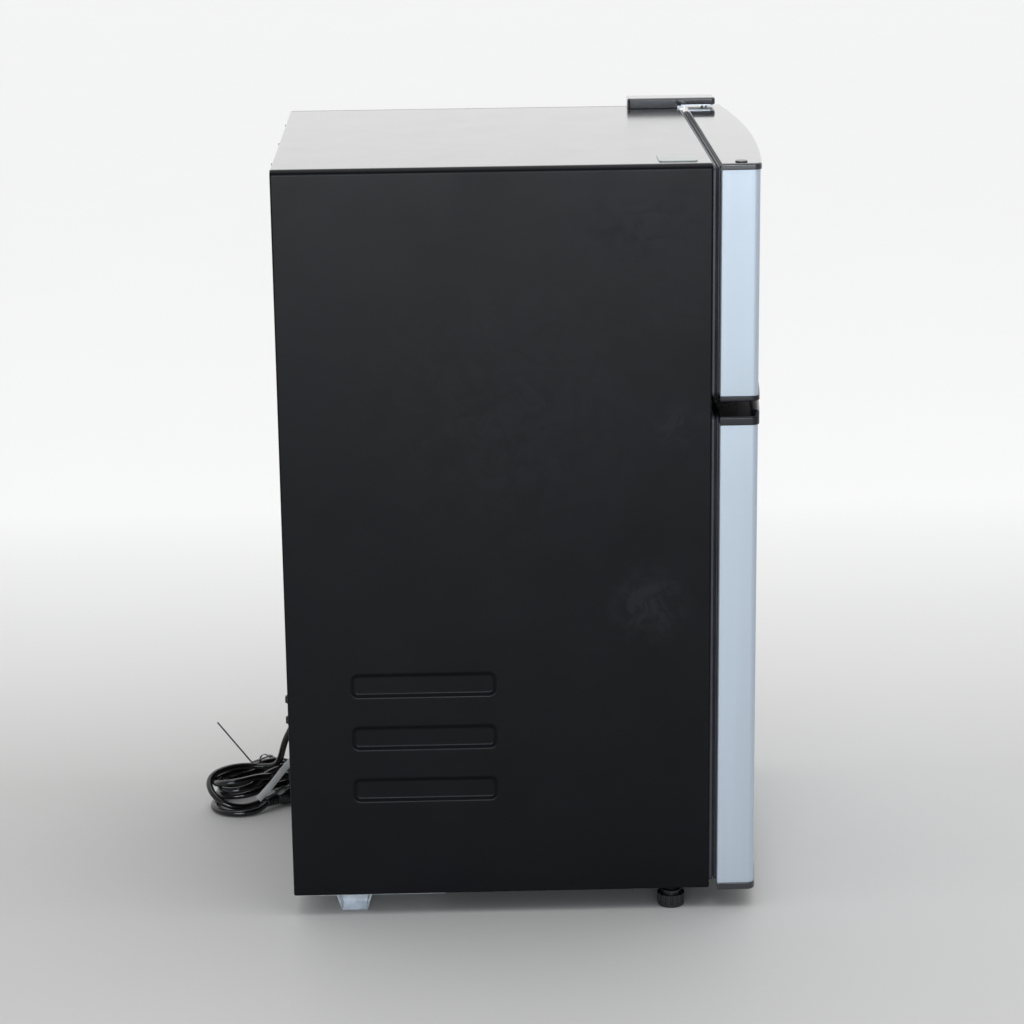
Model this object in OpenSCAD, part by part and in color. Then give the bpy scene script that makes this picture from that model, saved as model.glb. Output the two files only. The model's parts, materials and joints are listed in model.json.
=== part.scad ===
// Compact two-door fridge with a freezer on top, as an assembly.
// Millimetres. +Z up, floor at z = 0, door fronts towards -Y, hinges at +X.

/* [Cabinet] */
// Outside width of the cabinet and of the doors.
cab_w = 472; // [460:1:484]
// Height of the cabinet top above the floor.
cab_h = 838; // [830:1:860]
// Depth of the cabinet, front flange to rear flange.
cab_d = 464; // [458:1:476]
// Radius of the rounded shoulder along each top side edge.
shoulder_r = 6; // [4:0.5:8]

/* [Side panel pressings] */
// Length of each pressed panel.
emboss_l = 160; // [140:5:170]
// Height of each pressed panel.
emboss_h = 28; // [22:1:34]
// Depth of each pressed panel.
emboss_depth = 2.5; // [1.5:0.25:2.5]
// Distance between the pressed panels.
emboss_pitch = 60.7; // [50:0.1:64]

/* [Doors] */
// How far the door fronts bulge at the middle of their width.
bulge = 12.5; // [9:0.5:15]
// Radius of the upright front corners of the doors.
door_corner_r = 8.5; // [7:0.5:10]
// How far the end caps stand proud of the door panels.
cap_proud = 1.5; // [1:0.25:2]
// Width of the finger pocket in the top of the lower door.
pocket_w = 240; // [200:10:280]
// Height of the raised lip along the front of the lower door's cap.
lip_h = 5.5; // [3:0.5:6]
// Depth of that lip, front to back.
lip_d = 9; // [6:0.5:9]
// Radius of the hinge pins (the doors open to 130 degrees).
pin_r = 4; // [3.5:0.25:4.5]

/* [Inside] */
// Height of the top of the rails for the upper glass shelf.
shelf_upper_z = 450; // [440:2:460]
// Height of the top of the rails for the lower glass shelf.
shelf_lower_z = 362; // [350:2:372]
// Thickness of the glass shelves.
glass_t = 4; // [3:0.5:5]
// Number of long wires in the freezer shelf.
shelf_wires = 15; // [11:2:17]
// Radius of the thermostat knob.
knob_r = 18; // [14:1:20]
// Wall of the crisper drawer.
crisper_wall = 2.5; // [2:0.25:3]

/* [Cooling] */
// Outside radius of the compressor shell.
comp_r = 62; // [58:1:64]
// Radius of the condenser tube.
cond_r = 2.4; // [2:0.1:2.6]

/* [Cord] */
// Diameter of the power cord.
cord_d = 8; // [7:0.5:8.5]
// Height of the tied hank of cord.
hank_h = 44; // [40:1:48]

/* [Hidden] */
sh = 1;                       // sheet thickness
W2 = cab_w / 2;
ZT = cab_h;
leg = 24;                     // underside of the cabinet
YF = -201.5;                  // front flange plane
YB = YF + cab_d;              // rear flange plane
ydr = -210.5;                 // rear face of the doors
yap = -265;                   // front of the bulge
zs = ZT - 264;                // middle of the gap between the doors
fz0 = zs + 8;                 // freezer door bottom
gz1 = zs - 8;                 // lower door top
gz0 = 20.6;                   // lower door bottom
hx = W2 - 13;                 // hinge axis
hy = -232;
cx0 = 40;                     // wall thickness to the cavity
cxi = W2 - cx0;               // half width of both cavities
lt = 1.5;                     // liner thickness
fc0 = zs + 23;                // freezer cavity floor
fc1 = ZT - 45;                // freezer cavity roof
gc0 = 71.5;                   // fridge cavity floor
gc1 = zs - 24;                // fridge cavity roof
cyb = 207;                    // cavity rear wall
hump_y = 47;                  // front of the step over the compressor
hump_z = 272;                 // top of the step
comp_y = 92;                  // riser in front of the compressor compartment
ledge_z = 232;                // roof of the compressor compartment
gx = W2 - 14;                 // gasket half width
damx = cxi - 12;              // half width of the door liner dam
pin_bore = pin_r + 0.06;
foot_x = W2 - 16;
foot_y = -160;
stud_r = 4;
XC = -60;                     // compressor axis
YC = 178;
dz = 5;                       // panel edge inset inside the caps

function arc(cx, cy, r, a0, a1, n) =
    [for (i = [0 : n]) let (a = a0 + (a1 - a0) * i / n) [cx + r * cos(a), cy + r * sin(a)]];
function rr(x0, x1, y0, y1, r, n = 6) = concat(
    arc(x1 - r, y0 + r, r, -90, 0, n), arc(x1 - r, y1 - r, r, 0, 90, n),
    arc(x0 + r, y1 - r, r, 90, 180, n), arc(x0 + r, y0 + r, r, 180, 270, n));
// door outline in plan: flat rear, flat sides, round corners, bulged front
function door_pts(d) =
    let (hw = W2 - d, ya = yap + d, r = max(door_corner_r - d, 1),
         R = (W2 * W2 + bulge * bulge) / (2 * bulge) - d, C = ya + R, cx = hw - r,
         cy = C - sqrt((R - r) * (R - r) - cx * cx), th = 360 + atan2(cy - C, -cx))
    concat([[-hw, ydr]], arc(-cx, cy, r, 180, th, 6),
           [for (i = [1 : 23]) let (a = th + (540 - 2 * th) * i / 24) [R * cos(a), C + R * sin(a)]],
           arc(cx, cy, r, 540 - th, 360, 6), [[hw, ydr]]);

module slab(x0, x1, y0, y1, z0, z1) translate([x0, y0, z0]) cube([x1 - x0, y1 - y0, z1 - z0]);
// extrude an X-Z outline along Y, and a Y-Z outline along X
module ext_y(y0, y1) translate([0, y1, 0]) rotate([90, 0, 0]) linear_extrude(y1 - y0) children();
module ext_x(x0, x1) translate([x0, 0, 0]) rotate([90, 0, 90]) linear_extrude(x1 - x0) children();
module ext_z(z0, z1) translate([0, 0, z0]) linear_extrude(z1 - z0) children();
module rod_x(x0, x1, y, z, r) translate([x0, y, z]) rotate([0, 90, 0]) cylinder(r = r, h = x1 - x0, $fn = 32);
module rod_y(y0, y1, x, z, r) translate([x, y1, z]) rotate([90, 0, 0]) cylinder(r = r, h = y1 - y0, $fn = 32);
module rod_z(z0, z1, x, y, r) translate([x, y, z0]) cylinder(r = r, h = z1 - z0, $fn = 48);

// tube swept along route points
function vu(v) = v / norm(v);
function tg(p, i) = i == 0 ? vu(p[1] - p[0]) : i == len(p) - 1 ? vu(p[i] - p[i - 1])
    : vu(vu(p[i + 1] - p[i]) + vu(p[i] - p[i - 1]));
function nn(p, i, q) = let (t = tg(p, i)) vu(q - (q * t) * t);
function frames(p, q) = [for (i = 0, n = nn(p, 0, q); i < len(p); i = i + 1, n = i < len(p) ? nn(p, i, n) : n) n];
function ring(c, n, t, r, k) = [for (j = [0 : k - 1]) c + r * (cos(360 * j / k) * n + sin(360 * j / k) * cross(t, n))];
module sweep(p, r, q, k = 8) {
    f = frames(p, q);
    m = len(p);
    pts = [for (i = [0 : m - 1]) each ring(p[i], f[i], tg(p, i), r, k)];
    sides = [for (i = [0 : m - 2]) for (j = [0 : k - 1])
        [i * k + j, (i + 1) * k + j, (i + 1) * k + (j + 1) % k, i * k + (j + 1) % k]];
    polyhedron(pts, concat(sides, [[for (j = [0 : k - 1]) j]], [[for (j = [0 : k - 1]) m * k - 1 - j]]), convexity = 10);
}
// cut each corner of a route with two points, c before and after it
function soft(p, c) = concat([p[0]],
    [for (i = [1 : len(p) - 2]) each [p[i] + c * vu(p[i - 1] - p[i]), p[i] + 0.3 * c * vu(p[i - 1] - p[i]) + 0.3 * c * vu(p[i + 1] - p[i]), p[i] + c * vu(p[i + 1] - p[i])]],
    [p[len(p) - 1]]);
// smooth curve through hand-chosen points
function cr(a, b, c, d, t) = 0.5 * ((2 * b) + (c - a) * t + (2 * a - 5 * b + 4 * c - d) * t * t + (3 * b - a - 3 * c + d) * t * t * t);
function spl(p, n) = concat([for (i = [0 : len(p) - 2]) for (k = [0 : n - 1])
    cr(p[max(i - 1, 0)], p[i], p[i + 1], p[min(i + 2, len(p) - 1)], k / n)], [p[len(p) - 1]]);

black = [0.04, 0.04, 0.05];
zinc = [0.72, 0.73, 0.74];
white = [0.93, 0.94, 0.95];

// ---------------------------------------------------------------- cabinet
emb_y = 113;
emb_z = [for (i = [0 : 2]) 148.1 + i * emboss_pitch];
screw_z = [230, 254];
screw_top_x = [-150, 0, 150];

module side_sheet() {
    a0 = acos(-0.5 / (shoulder_r - sh));
    xs = -W2 + shoulder_r;
    difference() {
        union() {
            difference() {
                ext_y(YF, YB) polygon(concat([[-W2, leg]], arc(xs, ZT - shoulder_r, shoulder_r, 180, 90, 8),
                    [[xs + 0.5, ZT], [xs + 0.5, ZT - sh], [-W2 + 15, ZT - sh], [-W2 + 15, ZT - 2 * sh], [xs - 0.5, ZT - 2 * sh]],
                    arc(xs, ZT - shoulder_r, shoulder_r - sh, a0, 180, 8), [[-W2 + sh, leg]]));
                for (z = emb_z) ext_x(-W2 - 1, -W2 + sh + 0.5)
                    polygon(rr(emb_y - emboss_l / 2 + 1, emb_y + emboss_l / 2 - 1, z - emboss_h / 2 + 1, z + emboss_h / 2 - 1, 7));
            }
            for (z = emb_z) difference() {
                ext_x(-W2, -W2 + emboss_depth + sh)
                    polygon(rr(emb_y - emboss_l / 2, emb_y + emboss_l / 2, z - emboss_h / 2, z + emboss_h / 2, 8));
                ext_x(-W2 - 1, -W2 + emboss_depth)
                    polygon(rr(emb_y - emboss_l / 2 + 1, emb_y + emboss_l / 2 - 1, z - emboss_h / 2 + 1, z + emboss_h / 2 - 1, 7));
            }
            slab(-W2, -W2 + 15, YF, YF + sh, leg, ZT - 6.5 - shoulder_r + 6);
            slab(-W2, -W2 + 15, YB - sh, YB, leg, ZT - 6.5 - shoulder_r + 6);
            slab(-W2, -W2 + 29, YF, YB, leg, leg + sh);
        }
        rod_z(leg - 1, leg + 2, -foot_x, foot_y, stud_r + 0.06);
        for (z = screw_z) rod_y(YB - 2, YB + 1, -W2 + 7.5, z, 2.05);
    }
}
module side_panel_left() color(black) side_sheet();
module side_panel_right() color(black) mirror([1, 0, 0]) side_sheet();

module top_panel() color(black) difference() {
    union() {
        slab(-W2 + shoulder_r + 0.8, W2 - shoulder_r - 0.8, YF, YB, ZT - sh, ZT);
        slab(-W2 + 15.5, W2 - 15.5, YF, YF + sh, ZT - 16, ZT);
        slab(-W2 + 15.5, W2 - 15.5, YB - sh, YB, ZT - 16, ZT);
    }
    for (x = screw_top_x) rod_y(YB - 2, YB + 1, x, ZT - 9, 2.05);
}

module back_panel() color(black) difference() {
    slab(-W2 + 2, W2 - 2, YB - 2, YB - 1, ledge_z, ZT - 2);
    for (x = screw_top_x) rod_y(YB - 3, YB, x, ZT - 9, 2.05);
    for (s = [-1, 1]) rod_y(YB - 3, YB, s * (W2 - 7.5), screw_z[1], 2.05);
}

// floor sheet, front lip, riser and ledge, each a flat sheet spot-welded to the next
module base_pan() color(zinc) difference() {
    union() {
        slab(-W2 + 29.5, W2 - 29.5, YF + sh + 0.1, comp_y + sh, leg, leg + sh);
        slab(-W2 + 29.5, W2 - 29.5, YF, YF + sh, leg, 38.5);
        slab(-W2 + 7.5, W2 - 7.5, comp_y, comp_y + sh, leg + sh + 0.1, ledge_z - sh - 0.1);
        slab(-W2 + 7.5, W2 - 7.5, comp_y, YB - 1.3, ledge_z - sh, ledge_z);
    }
    rod_z(ledge_z - 3, ledge_z + 3, -20, 190, 8.3);
}

module cab_hole_f(d) ext_y(YF - (d > 0 ? 0 : 1), cyb + d) polygon(rr(-cxi - d, cxi + d, fc0 - d, fc1 + d, 12 + d));
module cab_hole_g(d) {
    ext_y(YF - (d > 0 ? 0 : 1), cyb + d) polygon(rr(-cxi - d, cxi + d, hump_z - d, gc1 + d, 12 + d));
    ext_y(YF - (d > 0 ? 0 : 1), hump_y + d) polygon(rr(-cxi - d, cxi + d, gc0 - d, gc1 + d, 12 + d));
}
// side walls, rear wall, roof, middle and floor blocks, each kept a simple shape
module insulation_foam() color([0.9, 0.84, 0.6]) difference() {
    slab(-W2 + 7, W2 - 7, YF + sh, YB - 2, leg + sh, ZT - 2);
    slab(-W2, W2, comp_y, YB, leg, ledge_z);
    slab(-cxi - lt, cxi + lt, YF, cyb + lt, fc0 - lt, fc1 + lt);
    slab(-cxi - lt, cxi + lt, YF, cyb + lt, hump_z - lt, gc1 + lt);
    slab(-cxi - lt, cxi + lt, YF, hump_y + lt, gc0 - lt, gc1 + lt);
    for (s = [-1, 1]) translate([s * (cxi + lt + 0.05), 0, 0]) slab(-0.05, 0.05, YF, YB, leg, ZT);
    slab(-cxi - lt, cxi + lt, cyb + lt, cyb + lt + 0.1, leg, ZT);
    slab(-cxi - lt, cxi + lt, hump_y + lt, hump_y + lt + 0.1, leg, hump_z);
    slab(-W2, W2, comp_y - 0.1, comp_y, leg, hump_z);
    for (s = [0, 1]) mirror([s, 0, 0]) slab(cxi + lt + 0.1, W2, comp_y - 0.1, comp_y, leg, ZT);
    // evaporator pocket, condenser cross-over channel, drain, foot studs
    slab(-184, 184, cyb + lt, cyb + 12, zs + 40, ZT - 50);
    slab(-W2, W2, cyb + 34, cyb + 45, ZT - 24, ZT - 12);
    rod_z(ledge_z - 2, hump_z, -20, 190, 8.3);
    for (s = [-1, 1]) rod_z(leg, leg + 14, s * foot_x, foot_y, 7);
}
module freezer_liner() color(white) {
    difference() {
        union() {
            cab_hole_f(lt);
            slab(-W2 + 15.5, W2 - 15.5, YF, YF + sh, zs + 21.5, ZT - 16.5);
        }
        cab_hole_f(0);
    }
    for (s = [0, 1]) mirror([s, 0, 0]) slab(-cxi - 0.75, -cxi + 6, -150, 150, zs + 110, zs + 114);
}
module fridge_liner() color(white) difference() {
    union() {
        difference() {
            union() {
                cab_hole_g(lt);
                slab(-W2 + 15.5, W2 - 15.5, YF, YF + sh, 39, zs - 22.5);
            }
            cab_hole_g(0);
        }
        for (s = [0, 1]) mirror([s, 0, 0]) {
            slab(-cxi - 0.75, -cxi + 6, -130, 196, shelf_upper_z - 4, shelf_upper_z);
            slab(-cxi - 0.75, -cxi + 6, -130, 196, shelf_lower_z - 4, shelf_lower_z);
            slab(-cxi - 0.75, -cxi + 6, -95, 47.75, 264, 268);
            slab(-160, -154, -180, 40, gc0 - 0.75, 75.7);
        }
    }
    rod_z(hump_z - 4, hump_z + 2, -20, 190, 6);
}
module mullion_bar() color(white) slab(-W2 + 15.5, W2 - 15.5, YF, YF + sh, zs - 22, zs + 21);

module evaporator() color([0.8, 0.81, 0.82]) {
    slab(-180, 180, cyb + lt, cyb + 3, zs + 44, ZT - 54);
    ext_y(cyb + 3, cyb + 9) difference() {
        polygon(rr(-170, 170, zs + 54, ZT - 64, 20));
        polygon(rr(-162, 162, zs + 62, ZT - 72, 12));
    }
    for (i = [1 : 3]) slab(-165, 165, cyb + 3, cyb + 9, zs + 54 + i * (ZT - zs - 118) / 4 - 4, zs + 54 + i * (ZT - zs - 118) / 4 + 4);
}

// ---------------------------------------------------------------- hinges
module top_hinge() color(zinc) difference() {
    union() {
        slab(hx - 16, hx + 10, -203.5, -142, ZT, ZT + 2.5);
        slab(hx - 16, hx + 10, -206, -203.5, ZT + 0.4, ZT + 5);
        slab(hx - 16, hx + 10, -206, -203, ZT + 0.4, ZT + 2.5);
        ext_z(ZT + 2.5, ZT + 5) polygon(rr(hx - 16, hx + 10, -242, -203.6, 4));
        rod_z(ZT - 10, ZT + 5, hx, hy, pin_r);
    }
    for (y = [-190, -156]) rod_z(ZT - 1, ZT + 4, hx - 3, y, 2.6);
}
module top_hinge_cover() color(black) difference() {
    ext_z(ZT, ZT + 12) polygon(rr(W2 - 32, W2, -244, -142 + 3, 4));
    ext_z(ZT - 1, ZT + 10) polygon(rr(W2 - 30, W2 - 2, -242.2, -141.8 + 1, 2));
    slab(W2 - 33, W2 + 1, -250, -199, ZT - 1, ZT + 4);
}
module middle_hinge() color(zinc) difference() {
    union() {
        slab(hx - 47, hx - 1.5, YF - 2, YF, zs - 6.5, zs + 6.5);
        ext_z(zs - 1.5, zs + 1.5) polygon(rr(hx - 20, hx + 10, -242, YF, 3));
        rod_z(zs - 24, zs + 24, hx, hy, pin_r);
    }
    slab(hx - 1.4, hx + 20, -206, -198, zs - 10, zs + 10);
}
module bottom_hinge() color(zinc) difference() {
    union() {
        slab(hx - 36, hx + 10, YF - 2, -138, 22.4, leg);
        slab(hx - 36, hx + 10, YF - 2, YF, 17.2, leg);
        ext_z(17.2, 20.2) polygon(rr(hx - 20, hx + 10, -242, YF, 3));
        rod_z(18, 33, hx, hy, pin_r);
    }
    rod_z(20, 26, foot_x, foot_y, stud_r + 0.06);
}
module hex_screw(h) {
    cylinder(r = 5, h = 0.8, $fn = 32);
    cylinder(r = 4.2, h = h, $fn = 6);
}
module hinge_screws() color(zinc) {
    for (y = [-190, -156]) translate([hx - 3, y, ZT + 2.5]) { hex_screw(3); translate([0, 0, -2.5]) cylinder(r = 2.5, h = 3, $fn = 32); }
    for (x = [hx - 40, hx - 27]) translate([x, YF - 2, zs]) rotate([90, 0, 0]) hex_screw(3);
    for (y = [-185, -150]) translate([hx - 30, y, 22.4]) mirror([0, 0, 1]) hex_screw(3);
}
module hinge_hole_cover() color([0.8, 0.82, 0.8]) ext_z(ZT, ZT + 1.2) polygon(rr(-W2 + 19, -W2 + 63, -187, -146, 4));

module back_screws() color(black) {
    for (s = [-1, 1]) for (z = screw_z) translate([s * (W2 - 7.5), YB, z]) rotate([-90, 0, 0]) {
        hex_screw(2.5);
        translate([0, 0, z == screw_z[1] ? -2 : -1]) cylinder(r = 2, h = z == screw_z[1] ? 2 : 1, $fn = 32);
    }
    for (x = screw_top_x) translate([x, YB, ZT - 9]) rotate([-90, 0, 0]) {
        hex_screw(2.5);
        translate([0, 0, -2]) cylinder(r = 2, h = 2, $fn = 32);
    }
}

// ---------------------------------------------------------------- feet
module foot(x) translate([x, foot_y, 0]) {
    difference() {
        union() {
            cylinder(r = 14.5, h = 3, $fn = 64);
            translate([0, 0, 2]) cylinder(r = 15.4, h = 12, $fn = 64);
            translate([0, 0, 13]) cylinder(r = 11, h = 5.5, $fn = 64);
        }
        for (i = [0 : 11]) rotate([0, 0, 30 * i]) translate([16, 0, 4]) cylinder(r = 1.6, h = 12, $fn = 24);
    }
    translate([0, 0, 17]) cylinder(r = stud_r, h = 19, $fn = 48);
    translate([0, 0, 18]) cylinder(r = 7, h = 3.2, $fn = 6);
}
module front_foot_left() color(black) foot(-foot_x);
module front_foot_right() color(black) foot(foot_x);

// ---------------------------------------------------------------- inside
module thermostat_housing() color(white) difference() {
    union() {
        ext_x(cxi - 36, cxi - 2) polygon(rr(-60, 60, 470, 545, 8));
        slab(cxi - 6, cxi, -50, 50, 480, 535);
    }
    ext_x(cxi - 33, cxi - 5) polygon(rr(-57, 57, 473, 542, 6));
    rod_x(cxi - 40, cxi - 30, 0, 507, 3.08);
}
module thermostat_knob() color([0.85, 0.87, 0.9]) {
    difference() {
        union() {
            rod_x(cxi - 45, cxi - 36.4, 0, 507, knob_r);
            translate([cxi - 50, 0, 507]) rotate([0, 90, 0]) ext_z(0, 6) polygon(rr(-knob_r + 2, knob_r - 2, -3, 3, 2));
            rod_x(cxi - 37, cxi - 26, 0, 507, 3);
        }
        for (i = [0 : 17]) rotate([0, 0, 0]) translate([cxi - 46, 0, 507]) rotate([20 * i + 10, 0, 0]) translate([0, knob_r + 0.8, 0]) rotate([0, 90, 0]) cylinder(r = 1.6, h = 7, $fn = 20);
    }
}
module freezer_shelf() color([0.95, 0.95, 0.95]) {
    for (y = [-118, 4, 126]) rod_x(-cxi + 3, cxi - 3, y, zs + 116.5, 2.5);
    for (i = [0 : shelf_wires - 1]) rod_y(-122, 130, -168 + 336 * i / (shelf_wires - 1), zs + 119.6, 1.5);
}
module shelf_glass(z) color([0.75, 0.88, 0.85, 0.4]) slab(-cxi + 2, cxi - 2, -92, 198, z + 0.3, z + 0.3 + glass_t);
module shelf_trims(z) color(white) difference() {
    union() {
        ext_x(-cxi + 7, cxi - 7) polygon(rr(-98, -84, z - 4, z + 7, 3));
        ext_x(-cxi + 7, cxi - 7) polygon(rr(188, 202, z - 3, z + 7, 3));
    }
    slab(-cxi + 2, cxi - 2, -92, 198, z + 0.3, z + 0.3 + glass_t);
}
module shelf_upper_glass() shelf_glass(shelf_upper_z);
module shelf_upper_trims() shelf_trims(shelf_upper_z);
module shelf_lower_glass() shelf_glass(shelf_lower_z);
module shelf_lower_trims() shelf_trims(shelf_lower_z);
module crisper_cover() color([0.75, 0.88, 0.85, 0.4]) slab(-cxi + 1, cxi - 1, -94, 46.5, 268, 268 + glass_t);
module crisper_drawer() color([0.8, 0.88, 0.92, 0.5]) difference() {
    union() {
        ext_z(76, 250) polygon(rr(-cxi + 16, cxi - 16, -86, 40, 6.5));
        ext_z(250, 256) polygon(rr(-cxi + 13, cxi - 13, -88, 42, 8));
    }
    ext_z(76 + crisper_wall, 260) polygon(rr(-cxi + 16 + crisper_wall, cxi - 16 - crisper_wall, -86 + crisper_wall, 40 - crisper_wall, 4));
    slab(-70, 70, -90, -80, 225, 260);
    // seams between the floor, the long walls and the end walls
    slab(-cxi, cxi, -90, 50, 76 + crisper_wall, 76.1 + crisper_wall);
    for (s = [-1, 1]) translate([s * (cxi - 21.75), 0, 0]) slab(-0.05, 0.05, -90, 50, 76 + crisper_wall, 260);
}

// ---------------------------------------------------------------- cooling
module rear_foot() {
    difference() {
        ext_x(W2 - 38, W2 - 14) polygon([[174.5, leg - 0.5], [217, leg - 0.5], [210, 0], [181, 0]]);
        ext_x(W2 - 36.5, W2 - 13) polygon([[176.2, leg + 1], [215.3, leg + 1], [208.6, 1.5], [182.4, 1.5]]);
    }
}
module compressor_base_plate() color(zinc) difference() {
    union() {
        slab(-W2 + 4, W2 - 4, comp_y + 2, YB - 2, leg - 1.5, leg);
        for (s = [0, 1]) mirror([s, 0, 0]) rear_foot();
    }
    for (x = [-1, 1]) for (y = [-1, 1]) rod_z(leg - 3, leg + 1, XC + x * 78, YC + y * 42, 4.1);
    for (s = [0, 1]) mirror([s, 0, 0]) slab(W2 - 36.5, W2 - 13.9, 177, 214.5, leg - 3, leg + 1);
}
module compressor() color(black) difference() {
    union() {
        translate([XC, YC, 43]) rotate_extrude($fn = 96) polygon(concat([[0, 0]], arc(comp_r - 28, 28, 28, -90, 0, 8),
            [[comp_r, 60], [comp_r + 2.5, 62], [comp_r + 2.5, 66], [comp_r - 1, 68]], arc(comp_r - 31, 110, 30, 0, 90, 8), [[0, 140]]));
        ext_z(40, 44) polygon(rr(XC - 90, XC + 90, YC - 54, YC + 54, 10));
    }
    for (x = [-1, 1]) for (y = [-1, 1]) rod_z(38, 46, XC + x * 78, YC + y * 42, 8.1);
}
module compressor_grommets() color([0.12, 0.12, 0.12]) for (x = [-1, 1]) for (y = [-1, 1]) difference() {
    union() {
        rod_z(leg, 40, XC + x * 78, YC + y * 42, 11);
        rod_z(39, 45, XC + x * 78, YC + y * 42, 8);
        rod_z(44, 47, XC + x * 78, YC + y * 42, 10.5);
    }
    rod_z(leg - 1, 50, XC + x * 78, YC + y * 42, 4.1);
}
module compressor_bolts() color(zinc) for (x = [-1, 1]) for (y = [-1, 1]) translate([XC + x * 78, YC + y * 42, 0]) {
    translate([0, 0, leg - 1.5]) cylinder(r = 4, h = 31, $fn = 32);
    translate([0, 0, 47]) cylinder(r = 9, h = 1.5, $fn = 48);
    translate([0, 0, 48.5]) cylinder(r = 7.5, h = 6, $fn = 6);
    translate([0, 0, leg - 5]) cylinder(r = 7.5, h = 3.5, $fn = 6);
}
module relay_cover() color(black) difference() {
    ext_z(62, 118) polygon(rr(XC + 46, XC + comp_r + 32, YC - 28, YC + 28, 6));
    rod_z(40, 130, XC, YC, comp_r + 2.7);
}
module filter_drier() color([0.72, 0.45, 0.3]) translate([150, 150, 0]) {
    translate([0, 0, 70]) cylinder(r = 9, h = 90, $fn = 48);
    translate([0, 0, 160]) cylinder(r1 = 9, r2 = 3.4, h = 12, $fn = 48);
    translate([0, 0, 58]) cylinder(r1 = 3.4, r2 = 9, h = 12, $fn = 48);
}
// hot line, drier line and return line in the compressor compartment
tube_a = [[XC - 51, YC + 28, 120], [XC - 90, YC + 45, 120], [-W2 + 12, 225, 120], [-W2 + 4, 225, 140]];
tube_b = [[W2 - 4, 225, 140], [W2 - 12, 225, 200], [150, 200, 200], [150, 150, 195], [150, 150, 172]];
tube_c = [[150, 150, 58], [150, 150, 45], [110, 130, 45], [80, 110, 60], [80, 106, 231]];
tube_d = [[96, 106, 231], [96, 110, 150], [60, 116, 136], [XC + 44, YC - 38, 136]];
module refrigerant_tubes() color([0.72, 0.45, 0.3]) {
    sweep(soft(tube_a, 6), 3, [0, 0.1, 1]);
    sweep(soft(tube_b, 6), 2.4, [0, 1, 0]);
    sweep(soft(tube_c, 6), 2, [0, 1, 0.1]);
    sweep(soft(tube_d, 8), 3.5, [0, 1, 0.1]);
}
cond_x = W2 - 4;
cond_rows = [for (i = [0 : 5]) 310 + i * 96];
cond_left = concat([[-cond_x, 225, 140], [-cond_x, 225, 310]],
    [for (i = [0 : 4]) each (i % 2 == 0 ? [[-cond_x, -165, cond_rows[i]], [-cond_x, -165, cond_rows[i + 1]]]
                                         : [[-cond_x, 215, cond_rows[i]], [-cond_x, 215, cond_rows[i + 1]]])],
    [[-cond_x, 246.5, cond_rows[5]], [-cond_x, 246.5, ZT - 18]]);
cond_right = [for (i = [len(cond_left) - 1 : -1 : 0]) [-cond_left[i][0], cond_left[i][1], cond_left[i][2]]];
module condenser_tube() color([0.25, 0.25, 0.27]) sweep(soft(concat(cond_left, cond_right), 10), cond_r, [1, 0.2, 0.1]);
module drip_tray() color([0.16, 0.16, 0.17]) difference() {
    ext_z(183, 203) polygon(rr(XC - 50, XC + 60, YC - 48, YC + 50, 10));
    ext_z(185, 206) polygon(rr(XC - 48, XC + 58, YC - 46, YC + 48, 8));
}
module drain_tube() color([0.16, 0.16, 0.17]) difference() {
    rod_z(198, hump_z - lt, -20, 190, 8);
    rod_z(190, hump_z + 2, -20, 190, 6);
}

// ---------------------------------------------------------------- cord
grip_x = 130;
grip_y = 246;
// the hank lies askew behind the cabinet: middle, direction and half sizes
hank_c = [137, 327];
hank_a = -44;
hank_l = 73;
hank_w = 30;
cord_route = [[grip_x, grip_y, 190], [grip_x, grip_y + 2, 160], [131, 262, 125], [136, 279, 95], [142, 291, 70], [149, 305, hank_h + 10], [149.5, 306, hank_h + 4], [149.5, 306, hank_h]];
module on_hank() translate([hank_c[0], hank_c[1], 0]) rotate([0, 0, hank_a]) children();
module rod_between(a, b, r) let (v = b - a) translate(a)
    rotate([0, acos(v[2] / norm(v)), atan2(v[1], v[0])]) cylinder(r = r, h = norm(v), $fn = 24);
module cord_grip() color(black) union() {
    slab(grip_x - 14, grip_x + 14, grip_y - 12, grip_y + 12, 222, ledge_z - sh);
    rod_z(190, 224, grip_x, grip_y, 9);
    rod_z(200, 206, grip_x, grip_y, 11);
}
module power_cord() color(black) sweep(spl(cord_route, 5), cord_d / 2, [1, 0, 0], 10);
module cord_hank() color(black) on_hank() ext_z(0, hank_h) polygon(rr(-hank_l, hank_l, -hank_w, hank_w, hank_w - 0.1, 10));
module power_plug() color(black) on_hank() {
    pv = -hank_w - 13;
    ext_z(0, 22) polygon(rr(0, 36, -hank_w - 26, -hank_w, 5));
    for (v = [-6.35, 6.35]) slab(35, 55, pv + v - 0.75, pv + v + 0.75, 12.9, 19.3);
    rod_x(35, 55, pv, 5.2, 2.3);
    rod_x(-14, 2, pv, 11, 7);
    rod_x(-28, -12, pv, 11, 5.5);
}
module cord_tie() color(black) {
    on_hank() {
        slab(30, 33, -hank_w - 1, hank_w + 1, hank_h, hank_h + 1);
        slab(30, 33, -hank_w - 1, -hank_w, 23.3, hank_h + 1);
        slab(30, 33, hank_w, hank_w + 1, 4, hank_h + 1);
        slab(-3, 31, 7, 9, hank_h, hank_h + 1);
    }
    rod_between([143, 332, hank_h + 0.2], [139, 372, 99], 0.9);
}
module cord_tag() color([0.95, 0.95, 0.93]) on_hank() {
    slab(-18, -0.6, -hank_w - 0.6, -hank_w, 6, 42);
    slab(-1, 17, -hank_w - 0.6, -hank_w, 23, 42);
}

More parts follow.
